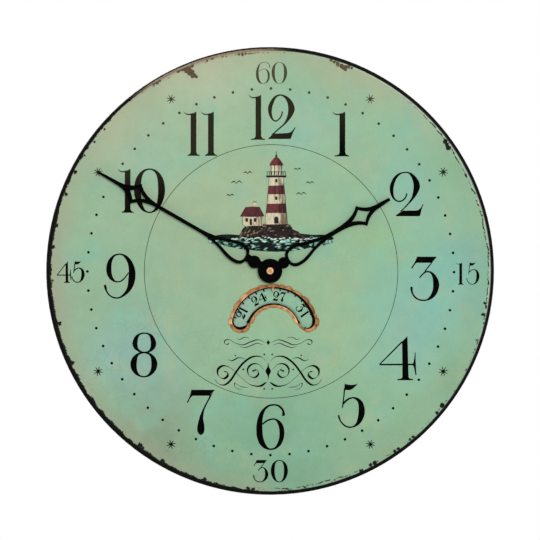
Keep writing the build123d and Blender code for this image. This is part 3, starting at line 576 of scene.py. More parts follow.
    def _bare(self, desk: NodeDesk, here: Socket, far: Value, aim: Value) -> Socket:
        """Return the mask of the bare board.

        Args:
            desk: the material's desk.
            here: the piece's coordinates in millimetres.
            far: each point's radius.
            aim: each point's direction.

        Returns:
            The flaked rim, the flecks just inside it and the chips.
        """
        cuts = [desk.times(lean.mask(desk, aim), depth) for lean, depth in self.rim_cuts]
        edge = desk.less(self.rim, desk.most(*cuts))
        bare = desk.effect(Effect.FLAKED_RIM, Vector=here, Radius=edge, Spread=5.0, Ragged=3.4)["Mask"]
        foot = self.foot.mask(desk, aim)
        level = desk.less(0.56, desk.times(desk.most(self.upper_right.mask(desk, aim), foot), 0.08))
        flecks = desk.span(desk.noise(here, 0.34, 4.0, 0.7), level, desk.plus(level, 0.03))
        wander = desk.span(desk.noise(here, 0.13), 0.25, 0.75, -0.8, 0.8)
        near = desk.less(desk.plus(far, wander), desk.times(self.lower_right.mask(desk, aim), 0.9))
        band = desk.times(desk.span(near, 174.5, 174.9), desk.less(1.0, desk.span(near, 175.6, 175.9)))
        sides = desk.most(self.right.mask(desk, aim), self.crown.mask(desk, aim), foot)
        bare = desk.most(bare, desk.times(flecks, band, sides))
        tight = desk.warped(here, 0.7, 1.6, 4.0)
        for across, up, radius in self.chips:
            bare = desk.most(bare, Patch(across, up, radius, self.chip_edge).mask(desk, tight))
        return bare

    def _cracks(self, desk: NodeDesk, here: Value) -> Socket:
        """Return the mask of faint hair cracks, which come and go over the dial."""
        bent = desk.warped(here, 0.09, 5.0, 3.0)
        feeds = {"Vector": bent, "Scale": 0.075}
        cells = desk.node("ShaderNodeTexVoronoi", feeds, feature="DISTANCE_TO_EDGE")
        line = desk.less(1.0, desk.span(cells.outputs["Distance"], 0.004, 0.026))
        where = desk.span(desk.noise(here, 0.02), 0.44, 0.62, 0.25, 1.0)
        return desk.times(line, where, desk.span(self.cracked.mask(desk, here), 0.0, 1.0, 0.05, 0.2))


@dataclass(frozen=True)
class BoardPaint(Finish):
    """Black satin paint on the board: rubbed brown at the crown, partly a painted sheen of the light from
    above, and a painted pale highlight along the right edge.
    """

    second: str = "121110"
    browns: tuple[str, str] = ("a08a72", "c6b396")
    dusty: str = "9aa39a"
    crown: Lean = Lean(-0.292, 0.956, 0.92, 0.985)
    right: Lean = Lean(1.0, 0.0, 0.55, 0.9)

    def dress(self, desk: NodeDesk, shader: Node, here: Socket) -> None:
        """Wire the rubbed and sheened crown, the painted highlight at the right and the uneven gloss."""
        flat = desk.flat(here)
        aim = desk.vector("NORMALIZE", flat)
        front = desk.span(desk.parts(here)[1], -29.4, -30.6)
        rubbed = desk.effect(Effect.FLAKED_RIM, Vector=here, Radius=178.6, Spread=1.2, Ragged=1.2)["Mask"]
        # Rubbed brown at the crown, which also stands for a painted sheen of the light from above on the
        # rounded edge.
        brown = desk.times(self.crown.mask(desk, aim), front, desk.less(1.0, rubbed), 0.85)
        # Painted highlight: a pale strip just inside the plate's edge on the right.
        inside = desk.less(1.0, desk.span(desk.length(flat), 177.2, 177.6))
        grey = desk.times(self.right.mask(desk, aim), inside, front, 0.5)
        grain = desk.effect(Effect.PAINT_GRAIN, Vector=here, Fine=1.4, Coarse=0.1)
        shade = desk.span(grain["Shade"], 0.4, 0.7)
        black = desk.blend(shade, self.colour, self.second)
        rubbed_and_sheen = desk.blend(shade, *self.browns)
        colour = desk.blend(grey, desk.blend(brown, black, rubbed_and_sheen), self.dusty)
        self.coat(desk, shader, colour, self.gloss(desk, grain["Height"], 0.15, 0.05), grain["Height"])


@dataclass(frozen=True)
class RingPaint(Finish):
    """Pale paint of the date ring, with painted shade along both edges of the track that shows, and a greyer
    left side.

    Attributes:
        grime: sRGB code of the painted shade.
        aged: sRGB code of the ring's greyer left side.
        axis: place of the ring's axis.
        unshaded: radii between which the paint has no painted shade.
        fade: how far the painted shade takes to build up.
    """

    grime: str = "6e8780"
    aged: str = "97b9a3"
    axis: Point = (3.0, -47.4)
    clean: tuple[float, float] = (23.4, 31.6)
    fade: float = 2.0

    def dress(self, desk: NodeDesk, shader: Node, here: Socket) -> None:
        """Wire the painted shade, the greyer side and the uneven grain."""
        centred = desk.vector("SUBTRACT", here, (self.axis[0], 0.0, self.axis[1]))
        far = desk.length(desk.flat(centred))
        low, high = self.clean
        # Painted shade: darker towards both edges of the track, where the window's walls shade the ring.
        edges = desk.most(desk.span(far, low, low - self.fade), desk.span(far, high, high + self.fade))
        grain = desk.effect(Effect.PAINT_GRAIN, Vector=here, Fine=1.4, Coarse=0.16)
        share = desk.times(edges, desk.span(grain["Shade"], 0.3, 0.7, 0.6, 1.0))
        aside = desk.span(desk.parts(centred)[0], -6.0, -22.0)
        colour = desk.blend(aside, self.colour, self.aged)
        colour = desk.blend(share, colour, self.grime)
        colour = desk.shaded(colour, desk.span(grain["Shade"], 0.35, 0.65, 0.92, 1.06))
        self.coat(desk, shader, colour, self.gloss(desk, grain["Height"], 0.06, 0.06), grain["Height"])


@dataclass(frozen=True)
class FadedInk(Finish):
    """Printed black, rubbed thin in places, with a painted glare that turns it browner towards the top of the
    dial and on its upper left.

    Attributes:
        faded: sRGB code of the rubbed ink, which is also the colour of its painted glare.
        crown: heights between which the painted glare comes in, and how strongly it shows.
    """

    faded: str = "5f5a42"
    crown: Place = (138.0, 162.0, 0.5)

    def dress(self, desk: NodeDesk, shader: Node, here: Socket) -> None:
        """Wire the rubbing and the painted glare."""
        low, high, share = self.crown
        # Painted glare: the ink turns browner towards the top and on the upper left, as if veiled by light
        # off the gloss.
        crown = desk.span(desk.parts(here)[2], low, high, 0.0, share)
        upper_left = desk.span(desk.dot(here, (-0.3, 0.0, 0.95)), 70.0, 118.0, 0.0, 0.22)
        grain = desk.effect(Effect.PAINT_GRAIN, Vector=here, Fine=1.1, Coarse=0.2)
        rubbed = desk.span(grain["Shade"], 0.54, 0.74, 0.0, 0.1)
        fade = desk.most(desk.plus(crown, upper_left), rubbed)
        colour = desk.blend(fade, self.colour, self.faded)
        self.coat(desk, shader, colour, self.gloss(desk, grain["Height"], 0.1, 0.06), grain["Height"])


@dataclass(frozen=True)
class BrushedTint(Finish):
    """A painter's colour laid on by brush: it drifts to a second colour in short strokes."""

    second: str = "000000"
    slant: float = 0.5

    def dress(self, desk: NodeDesk, shader: Node, here: Socket) -> None:
        """Wire the brush strokes."""
        strokes = desk.noise(desk.mapped(here, (0.55, 1.0, 0.12), self.slant), 1.0, 3.0, 0.6)
        mixed = desk.plus(desk.times(strokes, 0.6), desk.times(desk.noise(here, 0.14), 0.4))
        colour = desk.blend(desk.span(mixed, 0.4, 0.62), self.colour, self.second)
        self.coat(desk, shader, colour, self.gloss(desk, strokes, 0.0, 0.12), strokes)


@dataclass(frozen=True)
class RoundedWash(Finish):
    """A painter's colour on an upright wall: lit left of its middle and dark on its right.

    Attributes:
        lit: sRGB code of the lit side.
        middle: place of the wall's middle.
        half: half the wall's width.
    """

    lit: str = "ffffff"
    middle: float = 0.0
    half: float = 1.0

    def dress(self, desk: NodeDesk, shader: Node, here: Socket) -> None:
        """Wire the turn from light to dark, broken by upright brush strokes."""
        strokes = desk.noise(desk.vector("MULTIPLY", here, (0.9, 1.0, 0.14)), 1.0, 4.0, 0.65)
        loose = desk.plus(desk.parts(here)[0], desk.span(strokes, 0.2, 0.8, -self.half, self.half))
        right = desk.span(loose, self.middle - 0.35 * self.half, self.middle + self.half)
        left = desk.span(loose, self.middle - 0.55 * self.half, self.middle - 1.5 * self.half, 0.0, 0.5)
        colour = desk.blend(desk.most(left, right), self.lit, self.colour)
        self.coat(desk, shader, colour, self.gloss(desk, strokes, 0.0, 0.12), strokes)


@dataclass(frozen=True)
class WornMetal(Finish):
    """Metal with cloudy tarnish, dull spots and small dents.

    Attributes:
        tarnish: sRGB code of the tarnish.
        scale: tarnish features per millimetre.
        tone: name of the piece's attribute that holds its painted light, if it has one: painted highlights on
            its crests and painted shade in its folds.
        bright: sRGB code of the painted highlights.
        spread: how strongly the tarnish shows.
    """

    tarnish: str = "503a22"
    scale: float = 0.3
    tone: str = ""
    bright: str = "f0c090"
    spread: float = 0.5

    def dress(self, desk: NodeDesk, shader: Node, here: Socket) -> None:
        """Wire the tarnish, and the painted highlights and painted shade where the piece has them."""
        wear = desk.effect(Effect.METAL_WEAR, Vector=here, Scale=self.scale)
        share = desk.times(wear["Tarnish"], self.spread)
        colour = desk.blend(share, self.colour, self.tarnish)
        if self.tone:
            tone = desk.node("ShaderNodeAttribute", attribute_name=self.tone).outputs["Fac"]
            # Painted shade in the tarnish colour where the painted light is low, and painted highlights where
            # it is high.
            colour = desk.blend(desk.span(tone, 0.5, 0.0), colour, self.tarnish)
            colour = desk.blend(desk.span(tone, 0.6, 1.0, 0.0, 0.8), colour, self.bright)
        self.coat(desk, shader, colour, self.gloss(desk, wear["Dull"], 0.1, 0.12), wear["Height"])


@dataclass(frozen=True)
class Fibreboard(Finish):
    """Sealed fibreboard: fine lying fibres, darker cut edges and soft blotches.

    Attributes:
        fibres: sRGB codes of the dark and the pale fibres.
        cut: sRGB code of the cut edges.
        lays: turn and scale of each lay of fibres.
    """

    fibres: tuple[str, str] = ("7d5f40", "b8946a")
    cut: str = "5b4229"
    lays: tuple[tuple[float, Place], ...] = ((0.6, (0.25, 2.0, 1.6)), (-0.7, (0.3, 2.0, 1.9)))

    def dress(self, desk: NodeDesk, shader: Node, here: Socket) -> None:
        """Wire the fibres and blotches."""
        bent = desk.warped(here, 0.25, 1.5)
        lays = [desk.noise(desk.mapped(bent, scale, turn), 1.0, 3.0, 0.7) for turn, scale in self.lays]
        fibres = desk.plus(*lays)
        colour = desk.blend(desk.span(fibres, 0.75, 1.25), *self.fibres)
        blotch = desk.span(desk.noise(here, 0.03, 4.0, 0.6), 0.4, 0.7, 0.0, 0.5)
        colour = desk.blend(blotch, colour, self.colour)
        far = desk.length(desk.flat(here))
        edges = desk.most(desk.span(far, 164.2, 165.0), desk.span(far, 139.8, 139.0))
        colour = desk.blend(desk.times(edges, 0.55), colour, self.cut)
        self.coat(desk, shader, colour, desk.span(fibres, 0.7, 1.3, 0.62, 0.48), fibres)


@dataclass(frozen=True)
class CellSleeve(Finish):
    """Plain sleeve of a dry cell: a dark body, a pale band by the positive end, bare metal caps."""

    second: str = "30343b"
    band: str = "b9bec2"
    cap: str = "c9c9c4"

    def dress(self, desk: NodeDesk, shader: Node, here: Socket) -> None:
        """Wire the band and the caps along the cell."""
        along = desk.parts(here)[0]
        grain = desk.effect(Effect.PAINT_GRAIN, Vector=here, Fine=2.2, Coarse=0.15)
        body = desk.blend(desk.span(grain["Shade"], 0.4, 0.65), self.colour, self.second)
        band = desk.times(desk.span(along, 11.9, 12.1), desk.less(1.0, desk.span(along, 20.9, 21.1)))
        ends = desk.most(desk.span(along, 23.6, 23.7), desk.span(along, -24.7, -24.8))
        colour = desk.blend(ends, desk.blend(band, body, self.band), self.cap)
        desk.feed(shader.inputs["Metallic"], ends)
        self.coat(desk, shader, colour, self.gloss(desk, grain["Height"], 0.04, 0.08), grain["Height"])


@dataclass(frozen=True)
class WoundWire(Finish):
    """Enamelled wire laid turn beside turn along the Z axis, with painted shade in the grooves between turns.
    """

    second: str = "5e2a12"

    def dress(self, desk: NodeDesk, shader: Node, here: Socket) -> None:
        """Wire the turns."""
        feeds = {"Vector": here, "Scale": 1.6, "Distortion": 0.6}
        turns = desk.node("ShaderNodeTexWave", feeds, bands_direction="Z").outputs["Fac"]
        # Painted shade: the second colour lies in the grooves between the turns.
        colour = desk.blend(turns, self.second, self.colour)
        self.coat(desk, shader, colour, desk.span(turns, 0.0, 1.0, 0.5, 0.28), turns)


@dataclass(frozen=True)
class PlainFloor(Finish):
    """A plain pale floor that looks a little brighter than its light makes it, in reflections too."""

    glow: float = 0.14

    def dress(self, desk: NodeDesk, shader: Node, here: Socket) -> None:
        """Give the floor a faint light of its own, which is seen but doesn't light the clock."""
        desk.feed(shader.inputs["Emission Color"], self.colour)
        desk.feed(shader.inputs["Emission Strength"], desk.times(desk.seen(), self.glow))


DIAL_PAINT = DialPaint("aged_mint_paint", "97bb98", 0.46, 0.1, bump=0.06)
DATE_PAINT = RingPaint("date_ring_paint", "91bc9d", 0.5, 0.15, bump=0.02)
BOARD_PAINT = BoardPaint("rim_black", "080807", 0.55, 0.05, bump=0.04)
DIAL_INK = FadedInk("dial_ink", "040403", 0.6, 0.01, bump=0.02)
# The dots and stars take the painted glare from lower down.
MARK_INK = FadedInk("mark_ink", "040403", 0.6, 0.01, bump=0.02, crown=(40.0, 135.0, 0.36))
HAND_LACQUER = Finish("hand_lacquer", "040504", 0.5, 0.006, bump=0.012)
# The lip's painted light lies in a mesh attribute.
LIP_COPPER = WornMetal(
    "lip_copper", "b47a49", 0.5, 0.3, 0.35, 0.12, tarnish="62371b", scale=0.5, tone="painted_light", bright="e6b98a"
)
# Black of the opening's cut edge, which also stands as a painted shadow on the date ring.
EDGE_AND_SHADOW_BLACK = Finish("window_edge_and_shadow_black", "0a0908", 0.7, 0.04, bump=0.02)
NUT_COPPER = WornMetal("bright_copper", "b8916b", 0.45, 0.4, 0.6, 0.02, tarnish="94704c", scale=0.6)
ARBOR_COPPER = WornMetal("arbor_copper", "96683f", 0.45, 0.4, 0.6, 0.02, tarnish="7d5430", scale=0.6)
BRASS = WornMetal("turned_brass", "c9a85e", 0.32, 0.5, 1.0, 0.02, tarnish="8a6c34", scale=0.5)
DARK_BRASS = WornMetal("dark_brass", "7c6a44", 0.4, 0.5, 1.0, 0.02, tarnish="4a3c22", scale=0.5)
ZINC = WornMetal("zinc_steel", "b6b6b2", 0.36, 0.5, 1.0, 0.02, tarnish="83837e", scale=0.4)
YELLOW_ZINC = WornMetal("yellow_zinc", "c3b27c", 0.36, 0.5, 1.0, tarnish="9a8a5e", scale=0.16)
LAMINATION = WornMetal("lamination_steel", "9d9d9c", 0.38, 0.5, 1.0, 0.02, tarnish="6d6c6a", scale=0.4)
NICKEL = WornMetal("nickel", "c4c4bf", 0.25, 0.5, 1.0, 0.01, tarnish="98988f")
FIBREBOARD = Fibreboard("hoop_fibreboard", "8f6d49", 0.55, bump=0.05)
CASE_PLASTIC = Finish("case_moulding", "1b1b1d", 0.52, 0.4)
COVER_PLASTIC = Finish("cover_moulding", "26262a", 0.48, 0.4)
KNOB_PLASTIC = Finish("knob_moulding", "5c5c5f", 0.45, 0.4)
MARK_PLASTIC = Finish("raised_marks", "38383c", 0.4, 0.4, bump=0.02)
ACETAL = Finish("white_acetal", "e2e0d6", 0.38, 0.5, bump=0.01)
BOBBIN = Finish("bobbin_moulding", "d8d2bc", 0.45, 0.4, bump=0.02)
RUBBER = Finish("black_rubber", "141414", 0.8, 0.2, bump=0.05)
LAMINATE = Finish("circuit_laminate", "2a5c36", 0.4, 0.5, bump=0.02)
MAGNET = Finish("rotor_magnet", "3c3c40", 0.4, 0.5, bump=0.02)
WIRE = WoundWire("coil_wire", "b9602c", 0.35, 0.5, 0.6, 0.05)
SLEEVE = CellSleeve("cell_sleeve", "24272c", 0.32, 0.5, bump=0.01)
FLOOR_PALE = PlainFloor("floor_pale", "efefed", 0.8, 0.1)


class Rails:
    """Smooth lines through points, and the edges of pen strokes.

    Attributes:
        taper: samples over which a pen stroke gains its width.
        blunt: share of the width that it has at its ends.
    """

    taper: ClassVar[float] = 6.0
    blunt: ClassVar[float] = 0.35

    @staticmethod
    def smooth(points: np.ndarray, steps: int, closed: bool = False) -> np.ndarray:
        """Run a Catmull-Rom line through points.

        Args:
            points: the points, one per row.
            steps: samples from each point to the next.
            closed: whether the line runs back to its start.

        Returns:
            The samples, one per row.
        """
        if closed:
            padded = np.vstack([points[-1], points, points[:2]])
        else:
            padded = np.vstack([2 * points[0] - points[1], points, 2 * points[-1] - points[-2]])
        share = np.linspace(0, 1, steps, endpoint=False)[:, None]
        line = []
        for k in range(len(padded) - 3):
            p0, p1, p2, p3 = padded[k : k + 4]
            cubic = -p0 + 3 * p1 - 3 * p2 + p3
            square = 2 * p0 - 5 * p1 + 4 * p2 - p3
            line.append(0.5 * (2 * p1 + (p2 - p0) * share + square * share**2 + cubic * share**3))
        if not closed:
            line.append(points[-1:])
        return np.vstack(line)

    @classmethod
    def nib(
        cls, points: Sequence[Point], thin: float, thick: float, slope: float = 40.0, steps: int = 8
    ) -> tuple[np.ndarray, np.ndarray]:
        """Draw a line with a broad nib, which is wide across its slope and tapers at both ends.

        Args:
            points: places that the line runs through.
            thin: least width.
            thick: greatest width.
            slope: angle of the nib in degrees.
            steps: samples from each place to the next.

        Returns:
            The stroke's left and right edges.
        """
        line = cls.smooth(np.array(points, float), steps)
        ahead = np.gradient(line, axis=0)
        ahead /= np.maximum(np.linalg.norm(ahead, axis=1, keepdims=True), 1e-9)
        heading = np.arctan2(ahead[:, 1], ahead[:, 0])
        wide = thin + (thick - thin) * np.abs(np.sin(heading - math.radians(slope))) ** 1.5
        sample = np.arange(len(line))
        ends = np.minimum(1.0, np.minimum(sample + 1, len(line) - sample) / cls.taper)
        half = (wide * (cls.blunt + (1 - cls.blunt) * ends) / 2)[:, None]
        across = np.column_stack([-ahead[:, 1], ahead[:, 0]])
        return line + across * half, line - across * half


class PrintLayer:
    """Gathers flat strokes of one colour and raises them a hair above a surface.

    Strokes that follow each other differ in height by a stagger, so that none lie in one plane.
    """

    stagger: ClassVar[float] = 0.0025
    levels: ClassVar[int] = 5

    def __init__(self, depth: float, lift: float = 0.05, sink: float = 0.03) -> None:
        """Start an empty layer.

        Args:
            depth: depth of the surface.
            lift: how far the strokes stand proud of it.
            sink: how far they reach into it.
        """
        self.front = -(depth + lift) * MM
        self.back = -(depth - sink) * MM
        self.strokes = 0
        self.shape = bmesh.new()

    def strip(self, left: np.ndarray, right: np.ndarray, closed: bool = False) -> None:
        """Add a stroke between two edges.

        Args:
            left: points of one edge, one per row.
            right: matching points of the other edge.
            closed: whether the stroke runs back to its start.
        """
        front = self.front - self.stagger * (self.strokes % self.levels) * MM
        self.strokes += 1
        rows = []
        for a, b in zip(left, right):
            corners = ((a, front), (b, front), (b, self.back), (a, self.back))
            rows.append([self.shape.verts.new((p[0] * MM, y, p[1] * MM)) for p, y in corners])
        faces = skin(self.shape, rows, closed)
        if not closed:
            faces.append(self.shape.faces.new(rows[0]))
            faces.append(self.shape.faces.new(rows[-1][::-1]))
        bmesh.ops.recalc_face_normals(self.shape, faces=faces)

    def ladder(
        self, rungs: Sequence[Rung], smooth: bool = True, closed: bool = False, steps: int = 6
    ) -> None:
        """Add a stroke whose edges run through the ends of rungs.

        Args:
            rungs: both ends of each rung, in millimetres.
            smooth: whether the edges are curves.
            closed: whether the stroke runs back to its start.
            steps: samples from each rung to the next on a curve.
        """
        table = np.array(rungs, float)
        left, right = table[:, :2], table[:, 2:]
        if smooth:
            left, right = Rails.smooth(left, steps, closed), Rails.smooth(right, steps, closed)
        self.strip(left, right, closed)

    def boxes(self, *boxes: Rung) -> None:
        """Add upright boxes, each given by its lower left and its upper right corner."""
        for left, low, right, high in boxes:
            self.ladder(((left, low, right, low), (left, high, right, high)), smooth=False)

    def pen(self, points: Sequence[Point], thin: float, thick: float, slope: float = 40.0) -> None:
        """Add a line drawn with a broad nib."""
        self.strip(*Rails.nib(points, thin, thick, slope))

    def dot(self, across: float, up: float, radius: float) -> None:
        """Add a round dot."""
        turn = np.linspace(0, math.pi, 9)
        arc = np.column_stack([across + radius * np.cos(turn), up + radius * np.sin(turn)])
        self.strip(arc, np.column_stack([arc[:, 0], 2 * up - arc[:, 1]]) + 1e-6)

    def piece(self, name: str, finish: Finish, body: str = "clock") -> bpy.types.Object:
        """Turn the layer into a piece that rides on a body."""
        bmesh.ops.remove_doubles(self.shape, verts=self.shape.verts, dist=1e-9)
        return place_piece(name, plain_mesh(name, self.shape), finish, body)


def skin(shape: bmesh.types.BMesh, rows: list[list], closed: bool) -> list[bmesh.types.BMFace]:
    """Join loops of vertices by faces.

    Args:
        shape: the mesh that they belong to.
        rows: the loops, in order.
        closed: whether the last is joined to the first.

    Returns:
        The new faces.
    """
    faces = []
    for here, there in zip(rows, rows[1:] + rows[:1] if closed else rows[1:]):
        for k in range(len(here)):
            m = (k + 1) % len(here)
            faces.append(shape.faces.new((here[k], here[m], there[m], there[k])))
    return faces


def plain_mesh(name: str, shape: bmesh.types.BMesh) -> bpy.types.Mesh:
    """Turn a shape into a mesh."""
    mesh = bpy.data.meshes.new(name)
    shape.to_mesh(mesh)
    shape.free()
    return mesh


def add_object(name: str, data: bpy.types.ID) -> bpy.types.Object:
    """Put a mesh, a lamp or a camera into the scene and return its object."""
    made = bpy.data.objects.new(name, data)
    bpy.context.scene.collection.objects.link(made)
    return made


def place_piece(name: str, mesh: bpy.types.Mesh, finish: Finish | None, body: str) -> bpy.types.Object:
    """Put a mesh into the scene as a piece.

    Args:
        name: the piece's name.
        mesh: its mesh, already in place.
        finish: its finish, or None if the mesh has one.
        body: the body that it rides on.

    Returns:
        The new object.
    """
    if finish is not None:
        finish.cover(mesh)
    piece = add_object(name, mesh)
    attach(piece, body)
    LOG.info("%s rides on %s, %d faces", name, body, len(mesh.polygons))
    return piece


class Line(Enum):
    """How the edges of a numeral's stroke run."""

    STRAIGHT = "straight"
    CURVED = "curved"
    ROUND = "round"


STROKES: dict[str, tuple[tuple[Line, tuple[Rung, ...]], ...]] = {}
STROKES["0"] = ((Line.ROUND, (
    (34.5, 99.8, 34.5, 96.8), (47, 97, 43.6, 93.8), (57.6, 88.6, 49.6, 86), (65.6, 74, 52.6, 74),
    (69, 55, 53.8, 55), (67.6, 38, 53.2, 38), (61.4, 20, 50.6, 21.4), (51.6, 6.6, 45.4, 9.2),
    (42, 1.6, 40.2, 4.4), (34.5, 0.2, 34.5, 3), (27, 1.6, 28.8, 4.4), (17.4, 6.6, 23.6, 9.2),
    (7.6, 20, 18.4, 21.4), (1.4, 38, 15.8, 38), (0, 55, 15.2, 55), (3.4, 74, 16.4, 74),
    (11.4, 88.6, 19.4, 86), (22, 97, 25.4, 93.8),
)),)
STROKES["1"] = ((Line.STRAIGHT, (
    (16.2, 3, 28.4, 3), (16.2, 88, 28.4, 88), (16.3, 92, 28.4, 99),
)), (Line.CURVED, (
    (0, 99.2, 1.6, 96.6), (5, 95.2, 5.6, 92.8), (10, 93.8, 10.6, 91.3), (15, 93.9, 15.2, 91.4),
    (21, 96, 18.5, 90.5),
)), (Line.STRAIGHT, (
    (9.6, 3, 9.6, 0.8), (12.2, 3.6, 12.2, 0.9), (14.6, 5.4, 14.6, 1), (16.3, 9.5, 16.3, 1),
    (28.3, 9.5, 28.3, 1), (30.2, 5.2, 30.2, 0.9), (33, 3.2, 33, 0.7), (35.6, 2.6, 35.6, 0.3),
)))
STROKES["2"] = ((Line.CURVED, (
    (39, 52.5, 36.6, 52.5), (38.2, 46.5, 35.6, 47.3), (34.2, 39.6, 31.8, 41), (28.5, 35, 27, 37.4),
    (21.5, 33, 21.5, 36), (14.5, 34.8, 16, 37.6), (8, 40.2, 11.5, 42.5), (3.2, 49, 9, 50),
    (0.8, 60, 8.6, 60), (1.6, 70.5, 10, 70), (5.5, 81, 13, 80), (11.5, 90, 17.5, 88), (20, 96.5, 23.5, 94),
    (30, 99.6, 31, 97.2), (40, 100, 39.5, 97.4), (49, 96.6, 44.8, 93.4), (57.5, 89, 49.2, 86),
    (63.8, 80, 51.8, 77.5), (66.6, 69, 53, 69), (65, 60, 52.4, 60.5), (60.5, 51, 51, 52),
    (54.8, 42.5, 48.8, 44), (48, 34.5, 44.6, 36.6), (40, 26, 38.2, 28), (31, 16.5, 29.6, 18.4),
    (25, 11.5, 23.5, 13),
)), (Line.STRAIGHT, (
    (14, 3.2, 14, 2), (22, 9.5, 20, 1.8), (30, 14, 30, 1.8), (58, 14, 57, 1.8), (62.5, 15, 64, 1.7),
    (66, 17.4, 67.2, 3), (69.6, 21.4, 70, 16), (72.6, 28.2, 74.4, 28.2),
)))
STROKES["2n"] = ((Line.CURVED, (
    (33, 62.6, 30.4, 62.6), (31.6, 55, 29, 55.4), (27.6, 47.6, 25.6, 49.2), (22, 42.2, 21, 44.6),
    (17, 40.2, 17, 43), (11.4, 42, 13, 44.6), (6, 48, 10.2, 49.6), (1.6, 57, 8.4, 57.4),
    (0.2, 67, 8.6, 66.6), (1.6, 76, 10.2, 75), (5.6, 84.6, 13, 82.6), (11.6, 93, 16.6, 90.4),
    (19, 98, 21.4, 95), (27, 99.8, 27.6, 97), (36, 98, 34, 94.4), (45, 93, 39.6, 88.6), (52.4, 85.4, 43, 81),
    (57.4, 75.6, 44.6, 73.4), (58.8, 66.6, 44.8, 66), (56.4, 58.6, 44, 58), (51.6, 50.4, 42, 50.4),
    (44.6, 41.4, 38.8, 42.4), (36, 32.6, 33.4, 34.8), (25.6, 24.4, 23.8, 26.4), (15.6, 15.4, 13.6, 17),
    (9, 10, 7, 11.4),
)), (Line.STRAIGHT, (
    (0.8, 3.6, 1, 2.6), (7, 9.4, 6, 2.6), (14, 14, 14, 2.6), (30, 14.6, 30, 2.6), (44, 15.4, 42, 2.6),
    (50.4, 17.6, 50, 2.8), (55, 21.8, 55.4, 16.5), (59.6, 28, 61, 27.6),
)))
STROKES["3"] = ((Line.STRAIGHT, (
    (15.5, 99.6, 12.5, 86.2), (58.6, 99.6, 48, 86.2),
)), (Line.STRAIGHT, (
    (15.5, 99.6, 15.5, 86.4), (10.6, 88, 12.4, 85), (6, 80, 8.4, 79.4), (2.2, 74.4, 5.2, 73.2),
)), (Line.STRAIGHT, (
    (49.8, 88, 47.2, 88), (33.4, 66, 31.2, 67.2),
)), (Line.CURVED, (
    (19.6, 53, 21.6, 51.6), (26, 60.8, 28, 58.8), (32.5, 66.4, 33.8, 63.6), (40, 67.6, 40, 64.6),
    (47.5, 65.6, 45.2, 62.2), (55, 59, 48.6, 55.4), (61, 49.5, 50.2, 47.5), (63.8, 38, 50.8, 38),
    (62.4, 27, 50.2, 28), (57.8, 16, 47.6, 18.4), (50.5, 7.6, 42.4, 9.8), (40, 2, 36.5, 4.6),
    (28, 0.3, 28, 3.4), (18, 2.4, 19.4, 5.2), (9.5, 8, 12, 10.2), (3.8, 16.5, 7, 17.6), (1, 25, 5.6, 24.6),
    (0.6, 30.5, 5.8, 30), (2, 32.5, 4.4, 32.4),
)))
STROKES["4"] = ((Line.STRAIGHT, (
    (51.6, 3, 65.2, 3), (51.4, 45, 64, 45), (51, 80, 62.9, 85), (50.4, 86.6, 62.6, 99.6),
)), (Line.STRAIGHT, (
    (50.2, 88.4, 52, 86), (0.4, 37, 3.2, 36.4),
)), (Line.STRAIGHT, (
    (0.4, 37.2, 1.4, 34), (52, 37.6, 52, 34.2),
)), (Line.STRAIGHT, (
    (63, 37.6, 63, 34.4), (74, 37.8, 74, 34.4), (78, 41, 78, 31),
)), (Line.CURVED, (
    (78.8, 63, 80.4, 63), (78.2, 52, 80.6, 52), (76.6, 43, 80.8, 43), (74.6, 36.2, 81, 36.2),
    (77, 29.5, 81.2, 30), (78.8, 21, 81.8, 21), (80.6, 12, 82.6, 12),
)), (Line.STRAIGHT, (
    (40.5, 3.2, 40.5, 0.8), (46, 3.6, 46, 0.8), (50, 5, 50, 0.8), (51.8, 8, 51.8, 0.8), (65, 8, 65, 0.8),
    (67, 5, 67, 0.8), (71, 3.4, 71, 0.8), (75, 3.2, 75, 0.8),
)))
STROKES["5"] = ((Line.CURVED, (
    (15.6, 99.8, 15.2, 86.4), (20, 98.4, 20, 85.8), (27, 97.2, 27, 85.8), (34, 97.2, 33.4, 88.6),
    (40, 98.4, 39.4, 94), (44.6, 100, 44, 99),
)), (Line.STRAIGHT, (
    (14.2, 90, 17.2, 90), (12.6, 70, 15.2, 70), (10.8, 56, 13.2, 56), (9.8, 46, 12.2, 46),
)), (Line.CURVED, (
    (10.4, 54.4, 13.2, 52.6), (15.5, 61.4, 18.6, 58.8), (24, 67.6, 26, 64.4), (34, 70, 34, 66.8),
    (43, 68.6, 40.2, 64.2), (51.5, 63.4, 44.8, 58.6), (57.6, 53.5, 46.6, 51), (60.2, 40, 46.8, 41),
    (58.8, 28, 46, 30.5), (53.8, 16.5, 44.2, 20.5), (46, 7.6, 40.4, 10.6), (37, 2.8, 34.6, 5.6),
    (27.5, 1, 27.5, 4), (18, 3.2, 19.2, 6), (9.8, 9.6, 12, 11.8), (4, 18.5, 7, 19.2), (1.2, 26, 5, 25.8),
    (1.6, 30, 4, 30),
)))
